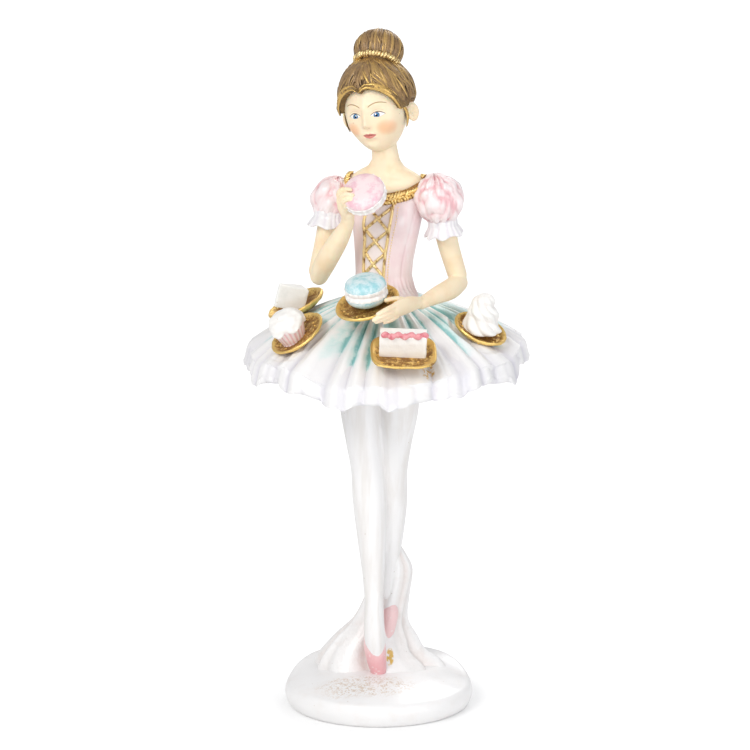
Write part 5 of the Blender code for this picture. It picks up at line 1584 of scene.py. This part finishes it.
class FIGURINE_OT_sweets(bpy.types.Operator):
    """Build the gilded plates and the sweets on them"""
    bl_idname = "figurine.sweets"
    bl_label = "Plates and sweets"
    bl_options = {"REGISTER", "UNDO"}

    def execute(self, context):
        s = context.scene.figurine
        gold = gold_paint(s)
        for name, sizes in PLATES.items():
            Piece("plate_" + name).form(dish_shape(**sizes), 96, 60).finish(gold)
        self.macarons(s)
        self.pastries(s)
        crumbs = Piece("crumbs")
        for scattered in CRUMBS:
            crumbs.filled(add_crumbs, *scattered)
        crumbs.finish(gold)
        return {"FINISHED"}

    def macarons(self, s):
        held = dict(centre=(-5.9, -24.4, 217.6), normal=(-0.30, -0.69, 0.66), radius=8.7, height=8.9)
        frame, seat = seat_of("held")
        blue = dict(centre=seat + frame @ np.array((0.9, 0.8, 6.2)), normal=(-0.13, -0.25, 0.96),
                    radius=8.25, height=11.8)
        pink_shell = shell_paint("shell_pink", (0.90, 0.72, 0.73), (0.80, 0.49, 0.56))
        blue_shell = shell_paint("shell_blue", (0.69, 0.82, 0.85), (0.32, 0.62, 0.67))
        white = cream_paint("filling_cream", s, (0.78, 0.68, 0.66))
        for name, sizes, paint in (("pink", held, pink_shell), ("blue", blue, blue_shell)):
            macaron = Piece("macaron_" + name)
            for side in (-1, 1):
                macaron.form(shell_shape(**sizes, side=side), 84, 44)
            macaron.finish(paint)
            Piece("filling_" + name).form(filling_shape(**sizes), 180, 36).finish(white)

    def pastries(self, s):
        white = cream_paint("pastry_cream", s, (0.84, 0.79, 0.76))
        frame, seat = seat_of("cake")
        Piece("cake").block((18.6, 6.6, 10.0), seat + frame @ np.array((-0.3, 0.6, 4.8)),
                            frame @ turned((0, 0, -3)), 0.5, 10, 0.14).finish(white)
        wave = np.linspace(0, 1, 41)
        ribbon = np.column_stack([-8.2 + 16.6 * wave, -2.3 + 0.5 * np.sin(wave * 21),
                                  10.0 + 0.25 * np.cos(wave * 21)])
        piped = limb(placed(ribbon, seat, frame), 1.15 + 0.2 * np.sin(wave * 40), 0.8, (0, 0, 1))
        rose = shell_paint("icing_rose", (0.80, 0.34, 0.36), (0.66, 0.16, 0.20), 2.5)
        Piece("cake_icing").form(piped, 24, 240).finish(rose)
        frame, seat = seat_of("cupcake")
        cup = dict(foot=seat + frame @ np.array((-2.4, 0.4, -0.8)), normal=(-0.42, -0.20, 0.88),
                   radius=6.9, height=13.2)
        paper = pink_paint("case_pink", s, (0.82, 0.48, 0.52))
        Piece("cupcake_case").form(case_shape(**cup), 180, 36).finish(paper)
        Piece("cupcake_icing").form(icing_shape(**cup), 110, 64).finish(white)
        frame, seat = seat_of("slice")
        grey = cream_paint("slice_cream", s, (0.70, 0.72, 0.68))
        Piece("slice").block((11.6, 9.6, 9.8), seat + frame @ np.array((-1.0, -0.6, 5.4)),
                             frame @ turned((8, 38, 22)), 0.5, 10, 0.14, 0.8).finish(grey)
        frame, seat = seat_of("meringue")
        foot = seat + frame @ np.array((0.9, 0.9, -0.6))
        swirl = meringue_shape(foot, (0.06, -0.14, 0.99), 6.9, 16.6)
        Piece("meringue").form(swirl, 160, 96).finish(white)


# The stage: places and sizes in metres, power in watts
CAMERA_PLACE = (-0.0016, -1.4672, 0.4509)
CAMERA_AIM = (-0.0016, 0, 0.139)
SENSOR_WIDTH = 36.0
FOCAL_SHARE = 3668.0 / 750.0
LIGHTS_AIM = (0, 0, 0.15)
LIGHTS = (
    ("key", (-0.55, -0.85, 0.85), 0.45, 6.6, (1.0, 0.985, 0.96)),
    ("fill", (0.7, -0.9, 0.25), 0.8, 4.2, (0.97, 0.98, 1.0)),
    ("rim", (0.35, 0.9, 0.8), 0.5, 2.5, (1.0, 1.0, 1.0)),
)


class FIGURINE_OT_stage(bpy.types.Operator):
    """Set the pale floor, the soft studio light and the camera"""
    bl_idname = "figurine.stage"
    bl_label = "Stage"
    bl_options = {"REGISTER", "UNDO"}

    def execute(self, context):
        scene = context.scene
        floor_mesh = bpy.data.meshes.new("floor")
        bm = bmesh.new()
        bmesh.ops.create_grid(bm, x_segments=1, y_segments=1, size=3.0)
        bm.to_mesh(floor_mesh)
        bm.free()
        floor = bpy.data.objects.new("floor", floor_mesh)
        scene.collection.objects.link(floor)
        paper = Paint("floor_paper", 0.9)
        paper.shader.inputs["Specular IOR Level"].default_value = 0.1
        floor_mesh.materials.append(paper.look((0.92, 0.92, 0.92)))
        x, y, _ = paper.local((0, 0, 0))
        seen = paper.node("ShaderNodeLightPath").outputs["Is Camera Ray"]
        far = (x * x + y * y).math("SQRT").step(30.0, 75.0) * 0.75 + 0.25
        glow = paper.node("ShaderNodeEmission", {"Color": (1, 1, 1), "Strength": 1.15})
        both = paper.node("ShaderNodeMixShader", {0: far * Value(paper, seen), 1: paper.shader.outputs[0],
                                                  2: glow.outputs[0]})
        paper.feed(paper.tree.nodes["Material Output"].inputs["Surface"], both.outputs[0])

        world = bpy.data.worlds.new("studio")
        scene.world = world
        world.use_nodes = True
        nodes, links = world.node_tree.nodes, world.node_tree.links
        seen, lit = nodes["Background"], nodes.new("ShaderNodeBackground")
        seen.inputs["Color"].default_value = (1, 1, 1, 1)
        seen.inputs["Strength"].default_value = 1.2
        lit.inputs["Color"].default_value = (0.97, 0.98, 1.0, 1)
        lit.inputs["Strength"].default_value = 0.62
        rays, mix = nodes.new("ShaderNodeLightPath"), nodes.new("ShaderNodeMixShader")
        links.new(rays.outputs["Is Camera Ray"], mix.inputs[0])
        links.new(lit.outputs[0], mix.inputs[1])
        links.new(seen.outputs[0], mix.inputs[2])
        links.new(mix.outputs[0], nodes["World Output"].inputs["Surface"])

        for name, place, size, power, colour in LIGHTS:
            lamp = bpy.data.lights.new(name, "AREA")
            lamp.size, lamp.energy, lamp.color = size, power, colour
            light = bpy.data.objects.new(name, lamp)
            light.location = place
            light.rotation_euler = (Vector(LIGHTS_AIM) - light.location).to_track_quat("-Z", "Y").to_euler()
            scene.collection.objects.link(light)

        lens = bpy.data.cameras.new("camera")
        lens.sensor_width, lens.lens = SENSOR_WIDTH, FOCAL_SHARE * SENSOR_WIDTH
        lens.clip_end = 20.0
        camera = bpy.data.objects.new("camera", lens)
        camera.location = CAMERA_PLACE
        aim = Vector(CAMERA_AIM) - camera.location
        camera.rotation_euler = aim.to_track_quat("-Z", "Y").to_euler()
        scene.collection.objects.link(camera)
        scene.camera = camera
        scene.view_settings.view_transform = "Standard"
        return {"FINISHED"}


class FIGURINE_PT_panel(bpy.types.Panel):
    """The figurine's sizes and colours, and a button for each group of pieces"""
    bl_idname = "FIGURINE_PT_panel"
    bl_label = "Ballerina figurine"
    bl_space_type = "VIEW_3D"
    bl_region_type = "UI"
    bl_category = "Figurine"

    def draw(self, context):
        for name in FigurineSettings.__annotations__:
            self.layout.prop(context.scene.figurine, name)
        for operator in OPERATORS:
            self.layout.operator(operator.bl_idname)


OPERATORS = (FIGURINE_OT_base, FIGURINE_OT_legs, FIGURINE_OT_tutu, FIGURINE_OT_dress, FIGURINE_OT_arms,
             FIGURINE_OT_head, FIGURINE_OT_sweets, FIGURINE_OT_stage)


def register():
    bpy.utils.register_class(FigurineSettings)
    bpy.types.Scene.figurine = bpy.props.PointerProperty(type=FigurineSettings)
    for operator in OPERATORS:
        bpy.utils.register_class(operator)
    bpy.utils.register_class(FIGURINE_PT_panel)


def unregister():
    bpy.utils.unregister_class(FIGURINE_PT_panel)
    for operator in reversed(OPERATORS):
        bpy.utils.unregister_class(operator)
    del bpy.types.Scene.figurine
    bpy.utils.unregister_class(FigurineSettings)


def main():
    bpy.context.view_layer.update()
    register()
    bpy.ops.figurine.base()
    bpy.ops.figurine.legs()
    bpy.ops.figurine.tutu()
    bpy.ops.figurine.dress()
    bpy.ops.figurine.arms()
    bpy.ops.figurine.head()
    bpy.ops.figurine.sweets()
    bpy.ops.figurine.stage()
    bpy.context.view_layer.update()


if __name__ == "__main__":
    main()
